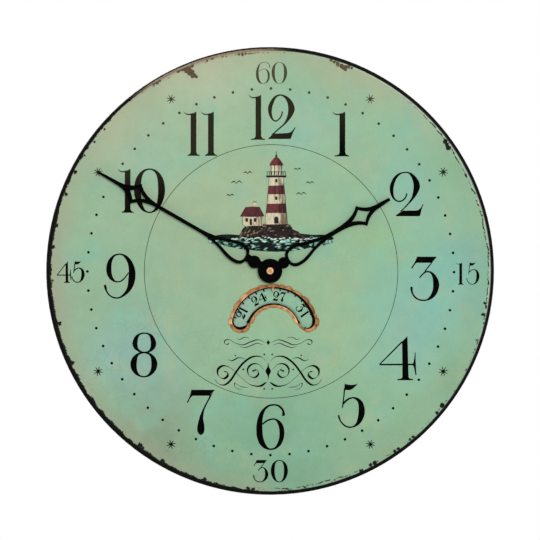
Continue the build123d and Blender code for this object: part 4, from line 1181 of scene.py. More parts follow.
STROKES["6"] = ((Line.CURVED, (
    (61.6, 74.6, 55.6, 74.4), (61.8, 80, 56.2, 79.6), (59.4, 88, 56, 85.6), (54, 95, 51, 92),
    (46, 99.6, 44.6, 96.4), (36, 100.4, 36.4, 97), (26, 98.4, 28, 95), (17, 92.4, 21, 89),
    (9, 82.6, 16.6, 80.4), (3.6, 70, 14, 69.6), (0.8, 56, 13, 57), (0.2, 42, 13.4, 42), (1.6, 28, 14.6, 29),
    (6.4, 14.6, 18, 17.4), (14.8, 5, 23, 8.2), (24, 0.8, 27.6, 4), (33, 0, 33, 3.2), (43, 2.6, 40, 5.8),
    (52.6, 10.6, 45.6, 14), (58.6, 22.6, 49.4, 24.6), (60.8, 38, 50.4, 38), (58.6, 52, 48.8, 51.4),
    (53, 61.6, 45, 60.4), (45, 67.4, 41.4, 64.8), (36, 69.4, 36, 66.2), (26, 67, 27.4, 64),
    (18, 62.4, 20, 59.8), (12.6, 57.6, 14.6, 55),
)),)
STROKES["7"] = ((Line.STRAIGHT, (
    (10.2, 99.2, 9.6, 86.4), (62, 99.2, 51.4, 86.4),
)), (Line.STRAIGHT, (
    (10.2, 99.2, 13.5, 86.6), (8, 88.5, 10.2, 84), (4.6, 80, 6.4, 78.4), (0.4, 72, 2.8, 70.4),
)), (Line.CURVED, (
    (50.4, 86.4, 57, 91), (45.8, 76.6, 49, 76.4), (40, 66, 43.2, 65.4), (34.6, 55, 39, 55),
    (30, 44, 36.8, 45), (26.6, 32.5, 36.4, 35), (24.2, 22, 38.2, 24), (23.2, 12, 39, 12), (25, 5, 37.4, 5),
    (28.6, 1.2, 33.6, 1.2), (30.4, 0.2, 31.8, 0.2),
)))
STROKES["8"] = ((Line.ROUND, (
    (31, 99.8, 31, 97), (43, 97.6, 40.2, 94.6), (51.5, 91, 44, 88), (56.6, 80, 45.6, 80), (57, 72, 45.6, 72),
    (53, 63, 44, 64.6), (44, 56.6, 39.6, 59), (31, 53.6, 31, 57), (20, 56.4, 23.6, 59), (10, 63, 17.6, 64.8),
    (5.4, 72, 16, 72.4), (5.6, 80, 16.2, 80), (10.4, 90.6, 18, 88.4), (19, 97.4, 21.8, 94.6),
)), (Line.ROUND, (
    (31, 57, 31, 53.6), (43, 54.2, 40, 51), (53, 47, 45, 45.4), (58.8, 37, 46.6, 36.5), (59.8, 28, 46.8, 28),
    (57.4, 18, 46, 19), (50, 8, 42.6, 10.8), (40, 1.8, 37, 4.8), (29.6, 0.2, 29.6, 3), (19, 2.4, 22, 5.2),
    (9, 9, 17, 11.4), (2.4, 19, 14.6, 19.6), (0.6, 29, 14.2, 29), (2, 38, 15, 38), (8, 47.6, 17, 46.4),
    (18.6, 54.6, 21.6, 51.4),
)))
STROKES["9"] = ((Line.CURVED, (
    (0.6, 31, 5, 31.4), (1.2, 25.6, 6.4, 25), (4.2, 17.6, 7.8, 18), (9.4, 9.4, 11.8, 11), (17, 3.4, 18.4, 6),
    (26.5, 0.6, 26.5, 3.6), (37, 2.2, 35, 5), (47.4, 8.2, 42.4, 11), (57, 16.8, 48.6, 19.4),
    (64.2, 28.6, 52.4, 29.6), (68.4, 43, 53.8, 42.6), (69.2, 57, 54.8, 57), (67, 70, 54.4, 69),
    (61.6, 82.4, 52, 79.8), (54, 92, 46.8, 89.6), (44, 98.4, 40.6, 95.6), (33, 100, 33, 97),
    (22.4, 97.2, 24.8, 94.2), (13.2, 89.4, 20, 87.2), (7.6, 78.6, 17.2, 77.6), (5.8, 66, 16.8, 66),
    (7.4, 54.6, 17.4, 56), (12.6, 44.8, 20.4, 46.8), (20.6, 38.6, 24.6, 41), (29.6, 36.4, 30.4, 39),
    (38.6, 38.4, 37.6, 40.8), (46, 44.6, 44.2, 46.4), (51.6, 52, 49.4, 53), (55.4, 58, 53.4, 58.6),
)),)
STROKES["1w"] = (
    *STROKES["1"],
    (Line.STRAIGHT, ((5.4, 2.6, 5.4, 0.6), (14, 3.4, 14, 0.8))),
    (Line.STRAIGHT, ((31, 3.2, 31, 0.7), (37, 2.4, 37, 0.3))),
)


class Numerals:
    """Upright numerals with thick stems and hairlines, drawn in a height of 100 units.

    Each stroke is a ladder: its rungs give the two edges. A round stroke runs back to its start.
    """

    @classmethod
    def width(cls, sign: str) -> float:
        """Return a numeral's width in units."""
        table = np.vstack([np.array(rungs, float) for _, rungs in STROKES[sign]])
        return float(table[:, (0, 2)].max())

    @classmethod
    def draw(
        cls, layer: PrintLayer, sign: str, low: Point, size: Point, turn: float = 0.0,
        about: Point = (0.0, 0.0), bold: float = 0.0, swell: float = 0.0,
    ) -> None:
        """Draw a numeral into a box.

        Args:
            layer: the layer that takes it.
            sign: the numeral.
            low: lower left corner of its box.
            size: width and height of the box.
            turn: clockwise turn of the box, in radians.
            about: point that the box turns about.
            bold: how far each edge of a stroke is pushed out.
            swell: how much of a stroke's own width is added on each side of it.
        """
        unit = np.array([size[0] / cls.width(sign), size[1] / 100.0])
        cos, sin = math.cos(turn), math.sin(turn)
        for line, rungs in STROKES[sign]:
            ends = np.array(rungs, float).reshape(-1, 2, 2) * unit + np.array(low) - np.array(about)
            across = ends[:, 1] - ends[:, 0]
            across *= swell + bold / np.maximum(np.linalg.norm(across, axis=1, keepdims=True), 1e-6)
            ends += np.stack([-across, across], axis=1)
            right, up = ends[..., 0], ends[..., 1]
            turned = np.stack([right * cos + up * sin, up * cos - right * sin], -1)
            placed = (turned + np.array(about)).reshape(-1, 4)
            layer.ladder(placed, smooth=line is not Line.STRAIGHT, closed=line is Line.ROUND)


class Mark(Enum):
    """Small marks that stand in a ring."""

    DOT = "dot"
    STAR = "star"
    TICK = "tick"


@dataclass
class MarkRing:
    """Equal marks round an axis, made by geometry nodes.

    Attributes:
        name: the piece's name.
        mark: which mark.
        finish: its finish.
        count: places in the ring.
        radius: radius of the ring.
        depth: depth of the surface that the marks lie on.
        size: a dot's radius, a star's reach or a tick's length.
        width: width of a star's arm or of a tick.
        turn: clockwise angle of the first mark, in degrees.
        skip: every so many places one stays empty, starting with the first; none if zero.
        axis: place of the ring's axis in the dial's plane.
        body: the body that the ring rides on.
        lift: how far the marks stand proud of the surface.
        sink: how far they reach into it.
    """

    name: str
    mark: Mark
    finish: Finish
    count: int
    radius: float
    depth: float
    size: float
    width: float = 0.5
    turn: float = 0.0
    skip: int = 0
    axis: Point = (0.0, 0.0)
    body: str = "clock"
    lift: float = 0.05
    sink: float = 0.05
    dot_sides: ClassVar[int] = 18
    star_arms: ClassVar[int] = 8
    arm_sides: ClassVar[int] = 6
    arm_tip: ClassVar[float] = 0.22

    def build(self) -> bpy.types.Object:
        """Run the tree and return the ring as a plain piece."""
        tree = bpy.data.node_groups.new(f"{self.name}_tree", "GeometryNodeTree")
        sizes = {
            "Count": ("NodeSocketInt", self.count),
            "Radius": ("NodeSocketFloat", self.radius * MM),
            "First Angle": ("NodeSocketFloat", math.radians(self.turn)),
            "Size": ("NodeSocketFloat", self.size * MM),
            "Width": ("NodeSocketFloat", self.width * MM),
            "Thickness": ("NodeSocketFloat", (self.lift + self.sink) * MM),
            "Place": ("NodeSocketVector", self._place()),
            "Finish": ("NodeSocketMaterial", self.finish.material()),
        }
        for label, (kind, _) in sizes.items():
            tree.interface.new_socket(name=label, in_out="INPUT", socket_type=kind)
        tree.interface.new_socket(name="Geometry", in_out="OUTPUT", socket_type="NodeSocketGeometry")
        desk = NodeDesk(tree)
        start = desk.node("NodeGroupInput").outputs
        angle = self._angle(desk, start["Count"], start["First Angle"])
        across = desk.times(desk.math("SINE", angle), start["Radius"])
        up = desk.times(desk.math("COSINE", angle), start["Radius"])
        feeds = {"Count": start["Count"], "Position": desk.join(X=across, Y=up)}
        points = desk.node("GeometryNodePoints", feeds)
        feeds = {
            "Points": points.outputs[0],
            "Instance": self._shape(desk, start),
            "Rotation": self._facing(desk, angle),
        }
        if self.skip:
            index = desk.node("GeometryNodeInputIndex").outputs[0]
            feeds["Selection"] = desk.math("GREATER_THAN", desk.math("MODULO", index, float(self.skip)), 0.5)
        ring = desk.node("GeometryNodeInstanceOnPoints", feeds)
        real = desk.node("GeometryNodeRealizeInstances", {0: ring.outputs[0]})
        upright = (math.pi / 2, 0.0, 0.0)
        feeds = {"Geometry": real.outputs[0], "Translation": start["Place"], "Rotation": upright}
        placed = desk.node("GeometryNodeTransform", feeds)
        feeds = {"Geometry": placed.outputs[0], "Material": start["Finish"]}
        dressed = desk.node("GeometryNodeSetMaterial", feeds)
        desk.node("NodeGroupOutput", {0: dressed.outputs[0]})
        mesh = run_tree(self.name, tree, {label: value for label, (_, value) in sizes.items()})
        return place_piece(self.name, mesh, None, self.body)

    def _place(self) -> Place:
        """Return the ring's centre, halfway through the marks' thickness."""
        middle = self.depth + (self.lift - self.sink) / 2
        return self.axis[0] * MM, -middle * MM, self.axis[1] * MM

    @staticmethod
    def _angle(desk: NodeDesk, count: Value, first: Value) -> Socket:
        """Return each point's clockwise angle."""
        index = desk.node("GeometryNodeInputIndex").outputs[0]
        return desk.plus(desk.times(index, desk.math("DIVIDE", 2 * math.pi, count)), first)

    @staticmethod
    def _facing(desk: NodeDesk, angle: Value) -> Socket:
        """Return a rotation that turns a mark outwards at an angle."""
        euler = desk.join(Z=desk.times(angle, -1.0))
        return desk.node("FunctionNodeEulerToRotation", {0: euler}).outputs[0]

    def _shape(self, desk: NodeDesk, start: bpy.types.NodeOutputs) -> Socket:
        """Return the geometry of one mark."""
        size, width, thick = start["Size"], start["Width"], start["Thickness"]
        if self.mark is Mark.DOT:
            feeds = {"Vertices": self.dot_sides, "Radius": size, "Depth": thick}
            return desk.node("GeometryNodeMeshCylinder", feeds).outputs[0]
        if self.mark is Mark.TICK:
            return desk.node("GeometryNodeMeshCube", {"Size": desk.join(X=width, Y=size, Z=thick)}).outputs[0]
        tip, root = desk.times(width, self.arm_tip), desk.times(width, 0.5)
        feeds = {"Vertices": self.arm_sides, "Radius Top": tip, "Radius Bottom": root, "Depth": size}
        cone = desk.node("GeometryNodeMeshCone", feeds).outputs[0]
        flat = desk.join(X=1.0, Y=desk.math("DIVIDE", thick, width), Z=1.0)
        feeds = {"Geometry": cone, "Rotation": (-math.pi / 2, 0.0, 0.0), "Scale": flat}
        arm = desk.node("GeometryNodeTransform", feeds).outputs[0]
        arms = desk.node("GeometryNodePoints", {"Count": self.star_arms}).outputs[0]
        turns = self._facing(desk, self._angle(desk, float(self.star_arms), 0.0))
        feeds = {"Points": arms, "Instance": arm, "Rotation": turns}
        return desk.node("GeometryNodeInstanceOnPoints", feeds).outputs[0]


def run_tree(name: str, tree: Tree, sizes: dict[str, Value]) -> bpy.types.Mesh:
    """Run a geometry tree once and keep its result as a plain mesh.

    Args:
        name: name of the mesh.
        tree: the tree.
        sizes: values of its inputs, by name.

    Returns:
        The mesh.
    """
    holder = add_object(f"{name}_holder", bpy.data.meshes.new(f"{name}_start"))
    modifier = holder.modifiers.new("tree", "NODES")
    modifier.node_group = tree
    for item in tree.interface.items_tree:
        if item.in_out == "INPUT":
            modifier[item.identifier] = sizes[item.name]
    graph = bpy.context.evaluated_depsgraph_get()
    mesh = bpy.data.meshes.new_from_object(holder.evaluated_get(graph), depsgraph=graph)
    mesh.name = name
    holder.modifiers.remove(modifier)
    bpy.data.objects.remove(holder)
    return mesh


@dataclass
class DialFace:
    """Everything printed on the dial plate except its picture and penwork."""

    depth: float = 33.4
    dot_ring: float = 147.15
    dot_radius: float = 1.1
    dot_turn: float = 0.1
    star_ring: float = 160.0
    star_reach: float = 3.8
    star_arm: float = 1.05
    axis: Point = (0.5, -0.7)
    circle_axis: Point = (0.8, -0.4)
    circle_radius: float = 101.75
    circle_width: float = 0.42
    hour_bold: float = 0.05
    hours: tuple[tuple[str, float, float, float, float], ...] = (
        ("1w", -17.4, 105.0, 13.24, 36.8), ("2n", -1.7, 105.0, 22.2, 36.8),
        ("1w", 49.8, 91.7, 13.63, 36.6), ("2", 95.8, 43.3, 27.3, 36.2), ("3", 112.4, -24.3, 23.3, 35.8),
        ("4", 87.5, -88.0, 30.0, 35.8), ("5", 54.1, -126.4, 21.9, 35.9), ("6", -11.1, -143.7, 22.9, 36.6),
        ("7", -67.0, -131.8, 22.7, 36.6), ("8", -112.3, -85.5, 21.7, 36.1), ("9", -133.6, -22.5, 25.5, 36.4),
        ("1", -122.6, 46.4, 13.1, 35.9), ("0", -109.2, 46.4, 24.8, 35.9),
        ("1", -69.7, 92.1, 13.1, 36.2), ("1", -55.7, 92.1, 13.1, 36.2),
    )
    minutes: tuple[tuple[str, float, float, float, float, float], ...] = (
        ("6", -11.5, 150.0, 11.6, 17.8, -0.14), ("0", 1.1, 150.0, 12.7, 17.8, -0.14),
        ("1", 149.0, -11.2, 6.4, 18.0, 0.0), ("5", 157.4, -11.2, 10.6, 18.0, 0.0),
        ("3", -13.7, -169.7, 12.2, 17.9, 0.07), ("0", 0.6, -169.7, 13.6, 17.9, 0.07),
        ("4", -171.2, -9.6, 11.5, 17.4, 0.12), ("5", -159.6, -9.6, 10.6, 17.4, 0.12),
    )

    def build(self) -> None:
        """Print the numerals, the circle, the dots and the stars."""
        hours = [(*box, self.hour_bold) for box in self.hours]
        for name, boxes in (("hour_numerals", hours), ("minute_numerals", self.minutes)):
            layer = PrintLayer(self.depth)
            for sign, across, up, wide, tall, bold in boxes:
                Numerals.draw(layer, sign, (across, up), (wide, tall), bold=bold)
            layer.piece(name, DIAL_INK)
        MarkRing(
            "minute_dots", Mark.DOT, MARK_INK, 60, self.dot_ring, self.depth, self.dot_radius,
            turn=self.dot_turn, axis=self.axis,
        ).build()
        MarkRing(
            "five_minute_stars", Mark.STAR, MARK_INK, 12, self.star_ring, self.depth, self.star_reach,
            self.star_arm, skip=3, axis=self.axis,
        ).build()
        self._circle()

    def _circle(self) -> None:
        """Draw the hairline circle inside the hour numerals."""
        turn = np.linspace(0, 2 * math.pi, 240, endpoint=False)
        way = np.column_stack([np.sin(turn), np.cos(turn)])
        layer = PrintLayer(self.depth, 0.04)
        hub, half = np.array(self.circle_axis), self.circle_width / 2
        outer, inner = self.circle_radius + half, self.circle_radius - half
        layer.strip(hub + way * outer, hub + way * inner, closed=True)
        layer.piece("hairline_circle", DIAL_INK)


@dataclass
class CoastPicture:
    """Small painted view above the hands: a lighthouse and a cottage on a rock in the sea."""

    depth: float = 33.4
    seed: int = 11
    middle: float = 5.0
    sea_lift: float = 0.03
    rock_lift: float = 0.09
    coat: float = 0.014
    sea_dabs: int = 240
    rock_dabs: int = 120
    spray_dabs: int = 30
    grass_dabs: int = 26
    water_line: tuple[Rung, ...] = (
        (-50, 26.2, -50, 25.2), (-44, 28.4, -44, 22.4), (-34, 29.4, -34, 19.6), (-20, 28.6, -20, 17.2),
        (-6, 29.8, -6, 15.8), (8, 29, 8, 15.4), (22, 30, 22, 16.6), (34, 29, 34, 19.2), (44, 29, 44, 22),
        (51, 26.8, 51, 25.6),
    )
    rock_line: tuple[Point, ...] = (
        (-27, 26.4), (-24, 29.6), (-22.4, 33.2), (-20, 35.4), (-12, 36.6), (-5, 37.2), (1, 38.6), (12, 38.8),
        (16.2, 36.6), (18.4, 33.2), (22.6, 31.6), (25.4, 28.6), (30.6, 27.6), (34.5, 26),
    )
    birds: tuple[Place, ...] = (
        (-27, 70, 4.4), (-18, 78, 3.4), (-32, 60, 3.0), (25, 61, 4.0), (32, 70, 3.2), (22, 81, 2.8)
    )
    waters: tuple[Finish, ...] = (
        BrushedTint("sea_dark", "0b1110", 0.5, 0.05, second="18231f", slant=1.2),
        BrushedTint("sea_swell", "2f5448", 0.5, 0.05, second="558a79", slant=1.3),
        BrushedTint("sea_crest", "74b39e", 0.5, 0.1, second="a9d6c4", slant=1.3),
        BrushedTint("sea_foam", "bfe3d4", 0.5, 0.1, second="dff0e6", slant=1.3),
    )
    stones: tuple[Finish, ...] = (
        BrushedTint("rock_dark", "15100e", 0.55, 0.1, second="2a201c"),
        BrushedTint("rock_brown", "3c2e27", 0.55, 0.1, second="554237"),
        BrushedTint("rock_light", "76634f", 0.55, 0.1, second="9a8468", slant=0.4),
    )
    grass: Finish = BrushedTint("dark_grass", "1f2a1c", 0.55, 0.1, second="3a4a2e", slant=0.4)
    lime: Finish = RoundedWash("tower_wash", "75624b", 0.5, 0.1, lit="ddd3b4", middle=5.0, half=8.0)
    plaster: Finish = RoundedWash("cottage_wash", "84705a", 0.5, 0.1, lit="d6cba9", middle=-13.0, half=9.0)
    maroon: Finish = RoundedWash("maroon_wash", "34151a", 0.5, 0.1, lit="6d3234", middle=5.0, half=8.0)
    tiles: Finish = BrushedTint("roof_maroon", "431d20", 0.5, 0.1, second="602c2e", slant=0.3)
    dark: Finish = BrushedTint("brown_black", "17100e", 0.5, 0.1, second="2a1e19", slant=0.3)

    def build(self) -> None:
        """Paint the view from the back to the front."""
        chance = random.Random(self.seed)
        self._sea(chance)
        self._rock(chance)
        self._cottage()
        self._tower(chance)
        self._gulls()

    def _layer(self, lift: float) -> PrintLayer:
        """Return a new layer that stands proud of the dial by a lift."""
        return PrintLayer(self.depth, lift)

    @staticmethod
    def _dab(
        layer: PrintLayer, chance: random.Random, place: Point, reach: float, lean: float, thick: float
    ) -> None:
        """Lay one short brush stroke, blunt where the brush lands and thin where it leaves.

        Args:
            layer: the layer that takes it.
            chance: source of its bend.
            place: its middle.
            reach: its length.
            lean: its direction in radians.
            thick: its greatest width.
        """
        way = np.array([math.cos(lean), math.sin(lean)])
        side = np.array([-way[1], way[0]])
        bend = chance.uniform(-0.6, 0.6) * thick
        rungs = []
        for along, half in ((-0.5, 0.2), (-0.38, 0.42), (-0.1, 0.5), (0.22, 0.34), (0.5, 0.05)):
            spot = np.array(place) + way * along * reach + side * bend * (1 - 4 * along * along)
            rungs.append((*(spot + side * half * thick), *(spot - side * half * thick)))
        layer.ladder(rungs, steps=3)

    def _sea(self, chance: random.Random) -> None:
        """Paint the strip of sea, from its dark water up to the foam."""
        layers = [self._layer(self.sea_lift + self.coat * k) for k in range(len(self.waters))]
        layers[0].ladder(self.water_line)
        for _ in range(self.sea_dabs):
            along = chance.uniform(-49.0, 50.0)
            room = 1.0 - (abs(along - 0.5) / 51.0) ** 2.4
            share = chance.random()
            luck = chance.random() + 0.4 * (share - 0.5)
            layer = layers[sum(luck > bar for bar in (0.24, 0.58, 0.9))]
            spot = (along, 23.4 + room * (13.4 * share - 7.0))
            reach = chance.uniform(2.2, 5.6) * (0.6 + 0.4 * room)
            self._dab(layer, chance, spot, reach, chance.uniform(-0.35, 0.35), chance.uniform(0.7, 1.7))
        names = ("painted_sea", "sea_swells", "sea_crests", "sea_foam")
        for name, layer, finish in zip(names, layers, self.waters):
            layer.piece(name, finish)

    def _rock(self, chance: random.Random) -> None:
        """Paint the rock in strokes that follow its slopes, with foam at its foot and grass on top."""
        layers = [self._layer(self.rock_lift + self.coat * k) for k in range(len(self.stones))]
        layers[0].ladder([(across, up, across, 25.4) for across, up in self.rock_line], smooth=False)
        places, tops = zip(*self.rock_line)
        for _ in range(self.rock_dabs):
            along = chance.uniform(-24.5, 31.5)
            share = chance.random()
            level = 25.8 + (float(np.interp(along, places, tops)) - 26.6) * share
            luck = chance.random() + 0.35 * (share - 0.5) - 0.008 * along
            layer = layers[sum(luck > bar for bar in (0.42, 0.74))]
            lean = -0.03 * (along - 4.0) + chance.uniform(-0.5, 0.5)
            self._dab(layer, chance, (along, level), chance.uniform(1.4, 3.8), lean, chance.uniform(0.5, 1.2))
        for name, layer, finish in zip(("painted_rock", "rock_faces", "rock_ledges"), layers, self.stones):
            layer.piece(name, finish)
        spray, tufts = self._layer(0.135), self._layer(0.135)
        for start in np.linspace(-28.0, 36.0, self.spray_dabs):
            along = start + chance.uniform(-1.0, 1.0)
            spot = (along, chance.uniform(24.6, 26.8))
            reach, lean = chance.uniform(1.6, 3.6), chance.uniform(-0.3, 0.3)
            self._dab(spray, chance, spot, reach, lean, chance.uniform(0.5, 1.1))
        for start in np.linspace(-21.0, 17.0, self.grass_dabs):
            along = start + chance.uniform(-0.6, 0.6)
            spot = (along, float(np.interp(along, places, tops)) + chance.uniform(-0.4, 0.3))
            reach, lean = chance.uniform(1.0, 2.2), chance.uniform(-0.4, 0.5)
            self._dab(tufts, chance, spot, reach, lean, chance.uniform(0.4, 0.9))
        spray.piece("rock_spray", self.waters[3])
        tufts.piece("rock_grass", self.grass)

    def _cottage(self) -> None:
        """Paint the keeper's cottage."""
        wall = self._layer(0.15)
        wall.boxes((-22, 36.2, -6, 45), (-13.6, 48, -11, 55))
        wall.piece("cottage_wall", self.plaster)
        roof = self._layer(0.165)
        roof.ladder(((-24, 44, -19.8, 51.2), (-14, 43.8, -14, 51.6), (-4.6, 44.1, -8.4, 51.4)), smooth=False)
        roof.piece("cottage_roof", self.tiles)
        holes = self._layer(0.18)
        holes.boxes((-19.8, 39.4, -17.8, 42.4), (-13, 39.4, -11, 42.4), (-16.4, 36.8, -14.6, 41.8))
        holes.pen([(-24.4, 43.8), (-14, 43.6), (-4.4, 43.9)], 0.4, 0.6)
        holes.pen([(-14, 55.2), (-12.3, 55.4), (-10.6, 55.2)], 0.6, 0.7)
        holes.pen([(-22, 36.2), (-22.1, 40), (-22, 44)], 0.25, 0.4)
        holes.piece("cottage_openings", self.dark)

    def _tower(self, chance: random.Random) -> None:
        """Paint the lighthouse with its bands, gallery and lantern."""
        mid = self.middle

        def belt(layer: PrintLayer, low: float, high: float) -> None:
            """Add a belt of the tower, with edges drawn by hand."""
            rows = []
            for up in np.linspace(low, high, 5):
                half = 9.0 - (up - 38.0) * 0.092
                left, right = (half + chance.uniform(-0.14, 0.14) for _ in range(2))
                rows.append((mid - left, up - 0.1, mid + right, up + 0.1))
            layer.ladder(rows)

        def post(at: float, half: float, low: float, high: float) -> Rung:
            """Return an upright box beside the tower's middle."""
            return mid + at - half, low, mid + at + half, high

        wall = self._layer(0.15)
        belt(wall, 37.4, 75.0)
        wall.boxes(post(0.0, 4.4, 77, 84.8))
        wall.piece("tower_wall", self.lime)
        bands = self._layer(0.165)
        belt(bands, 46.5, 54.0)
        belt(bands, 61.5, 68.5)
        dome = ((5.7, 84.6), (4.8, 86.8), (2.6, 89.8), (0.5, 91.8))
        bands.ladder([(mid - half, up, mid + half, up) for half, up in dome])
        bands.piece("tower_bands", self.maroon)
        trim = self._layer(0.18)
        trim.boxes(post(0.0, 8, 75, 76.6), post(0.0, 7.6, 79.3, 79.8))
        trim.boxes(*(post(1.85 * k, 0.2, 76.4, 79.6) for k in range(-4, 5)))
        trim.boxes(*(post(at, 0.28, 77, 85) for at in (-4.2, -1.4, 1.4, 4.2)))
        trim.boxes(*(post(0.0, 0.9, up, up + 2.8) for up in (57.0, 71.0)))
        trim.boxes(post(0.0, 0.25, 91, 96), post(0.0, 1.7, 38, 42.6), post(0.0, 1.2, 42.5, 43.6))
        trim.dot(mid, 92.4, 0.9)
        for side in (-1.0, 1.0):
            trim.pen([(mid + side * 9.1, 37.8), (mid + side * 7.3, 56.0), (mid + side * 5.7, 74.8)], 0.3, 0.5)
        trim.piece("tower_trim", self.dark)

    def _gulls(self) -> None:
        """Paint a few gulls."""
        layer = self._layer(0.05)
        for across, up, span in self.birds:
            for side, rise in ((-1.0, 0.42), (1.0, 0.5)):
                bend = (across + side * span * 0.45, up + span * rise)
                layer.pen([(across, up), bend, (across + side * span, up + 0.5)], 0.4, 0.9, 90.0)
        layer.piece("gulls", self.dark)


@dataclass
class Penwork:
    """Letterless flourish under the date window: mirrored scrolls on either side of a lozenge."""

    depth: float = 33.4
    middle: float = -1.5
    upper: float = -57.5
    lower: float = -80.5
    hairline: float = 0.28
    upper_lines: tuple[tuple[float, tuple[Point, ...]], ...] = (
        (0.9, ((2.6, 0), (8, 2.2), (14, 0.6), (20, -1.8), (26, -0.6), (31, 2.2), (34.5, 1.8), (35, -0.6),
               (33, -1.6), (31.4, -0.4))),
        (0.7, ((4, -2), (9, -0.6), (14, -2.6), (19, -4), (23, -3))),
        (0.6, ((15, 3.6), (19, 4.2), (23, 2.4), (25.4, 3.4))),
    )
    lower_lines: tuple[tuple[float, tuple[Point, ...]], ...] = (
        (1.9, ((1.5, -9), (7, -12), (15, -10.5), (23, -4), (30, 2.4), (36, 4.4), (40.4, 1.4), (40, -3.6),
               (36, -6), (32.6, -3.8), (33, -0.8), (35.6, -0.4))),
        (1.6, ((1.5, 8), (6, 11.6), (13, 11.4), (20, 6.6), (25.6, -0.4), (30, -7), (35, -11), (40, -10),
               (43, -6.4))),
        (1.5, ((3.4, 1), (7.6, 5.4), (13, 5.6), (16.6, 1.6), (15.2, -3.6), (10.8, -5), (7.8, -2.2), (9.2, 1),
               (11.8, 0.4))),
        (1.0, ((19, 10), (24, 10.8), (29, 8.4), (32.6, 9.6))),
        (0.9, ((16, -13), (22, -12.4), (27, -9.6), (26, -13.4), (21.4, -15))),
    )
    dots: tuple[Place, ...] = (
        (20.0, 1.4, 0.7), (26.5, 12.6, 0.6), (12.0, 0.2, 0.8), (3.2, 13.4, 0.7), (3.2, -14.2, 0.7)
    )

    def build(self) -> None:
        """Write both rows."""
        layer = PrintLayer(self.depth)
        for level, lines in ((self.upper, self.upper_lines), (self.lower, self.lower_lines)):
            for thick, points in lines:
                for side, slope in ((1.0, 40.0), (-1.0, 140.0)):
                    line = [(self.middle + side * x, level + z) for x, z in points]
                    layer.pen(line, self.hairline, thick, slope)
        self._lozenge(layer, self.upper, 1.5, 2.4)
        self._lozenge(layer, self.lower, 2.2, 7.0)
        for side in (1.0, -1.0):
            for across, up, radius in self.dots:
                layer.dot(self.middle + side * across, self.lower + up, radius)
        layer.piece("penwork_flourish", DIAL_INK)

    def _lozenge(self, layer: PrintLayer, level: float, half: float, tall: float) -> None:
        """Add a lozenge with hollow sides."""
        rows = []
        for up, share in ((-1.0, 0.03), (-0.5, 0.3), (0.0, 1.0), (0.5, 0.3), (1.0, 0.03)):
            height = level + up * tall
            rows.append((self.middle - half * share, height, self.middle + half * share, height))
        layer.ladder(rows)


class LipRun(Enum):
    """Parts of the window's edge."""

    TOP = "top"
    RIGHT_END = "right_end"
    FOOT = "foot"
    LEFT_END = "left_end"


@dataclass(frozen=True)
class Petal:
    """One fold of the torn lip.

    Attributes:
        start: where it starts, as a share of its run.
        length: how much of the run it takes.
        bold: how far it stands out.
        skew: how far its crest leans to one side.
        tone: how much lighter it is painted than the rest, a painted highlight.
    """

    start: float
    length: float
    bold: float
    skew: float
    tone: float


@dataclass(frozen=True)
class Swell:
    """How a width runs along one part of the window's edge.

    Attributes:
        base: width at the start.
        gain: what it gains evenly along the part.
        curve: what it gains with the square of the share.
        bow: what it gains halfway along.
        humps: height, place and reach of each soft hump.
        ramps: height, start and length of each ramp.
    """

    base: float
    gain: float = 0.0
    curve: float = 0.0
    bow: float = 0.0
    humps: tuple[Place, ...] = ()
    ramps: tuple[Place, ...] = ()

    def at(self, share: float) -> float:
        """Return the width at a share of the part."""
        width = self.base + self.gain * share + self.curve * share**2 + self.bow * math.sin(math.pi * share)
        for height, place, reach in self.humps:
            width += height * math.exp(-(((share - place) / reach) ** 2))
        for height, start, length in self.ramps:
            width += height * min(1.0, max(0.0, (share - start) / length))
        return width


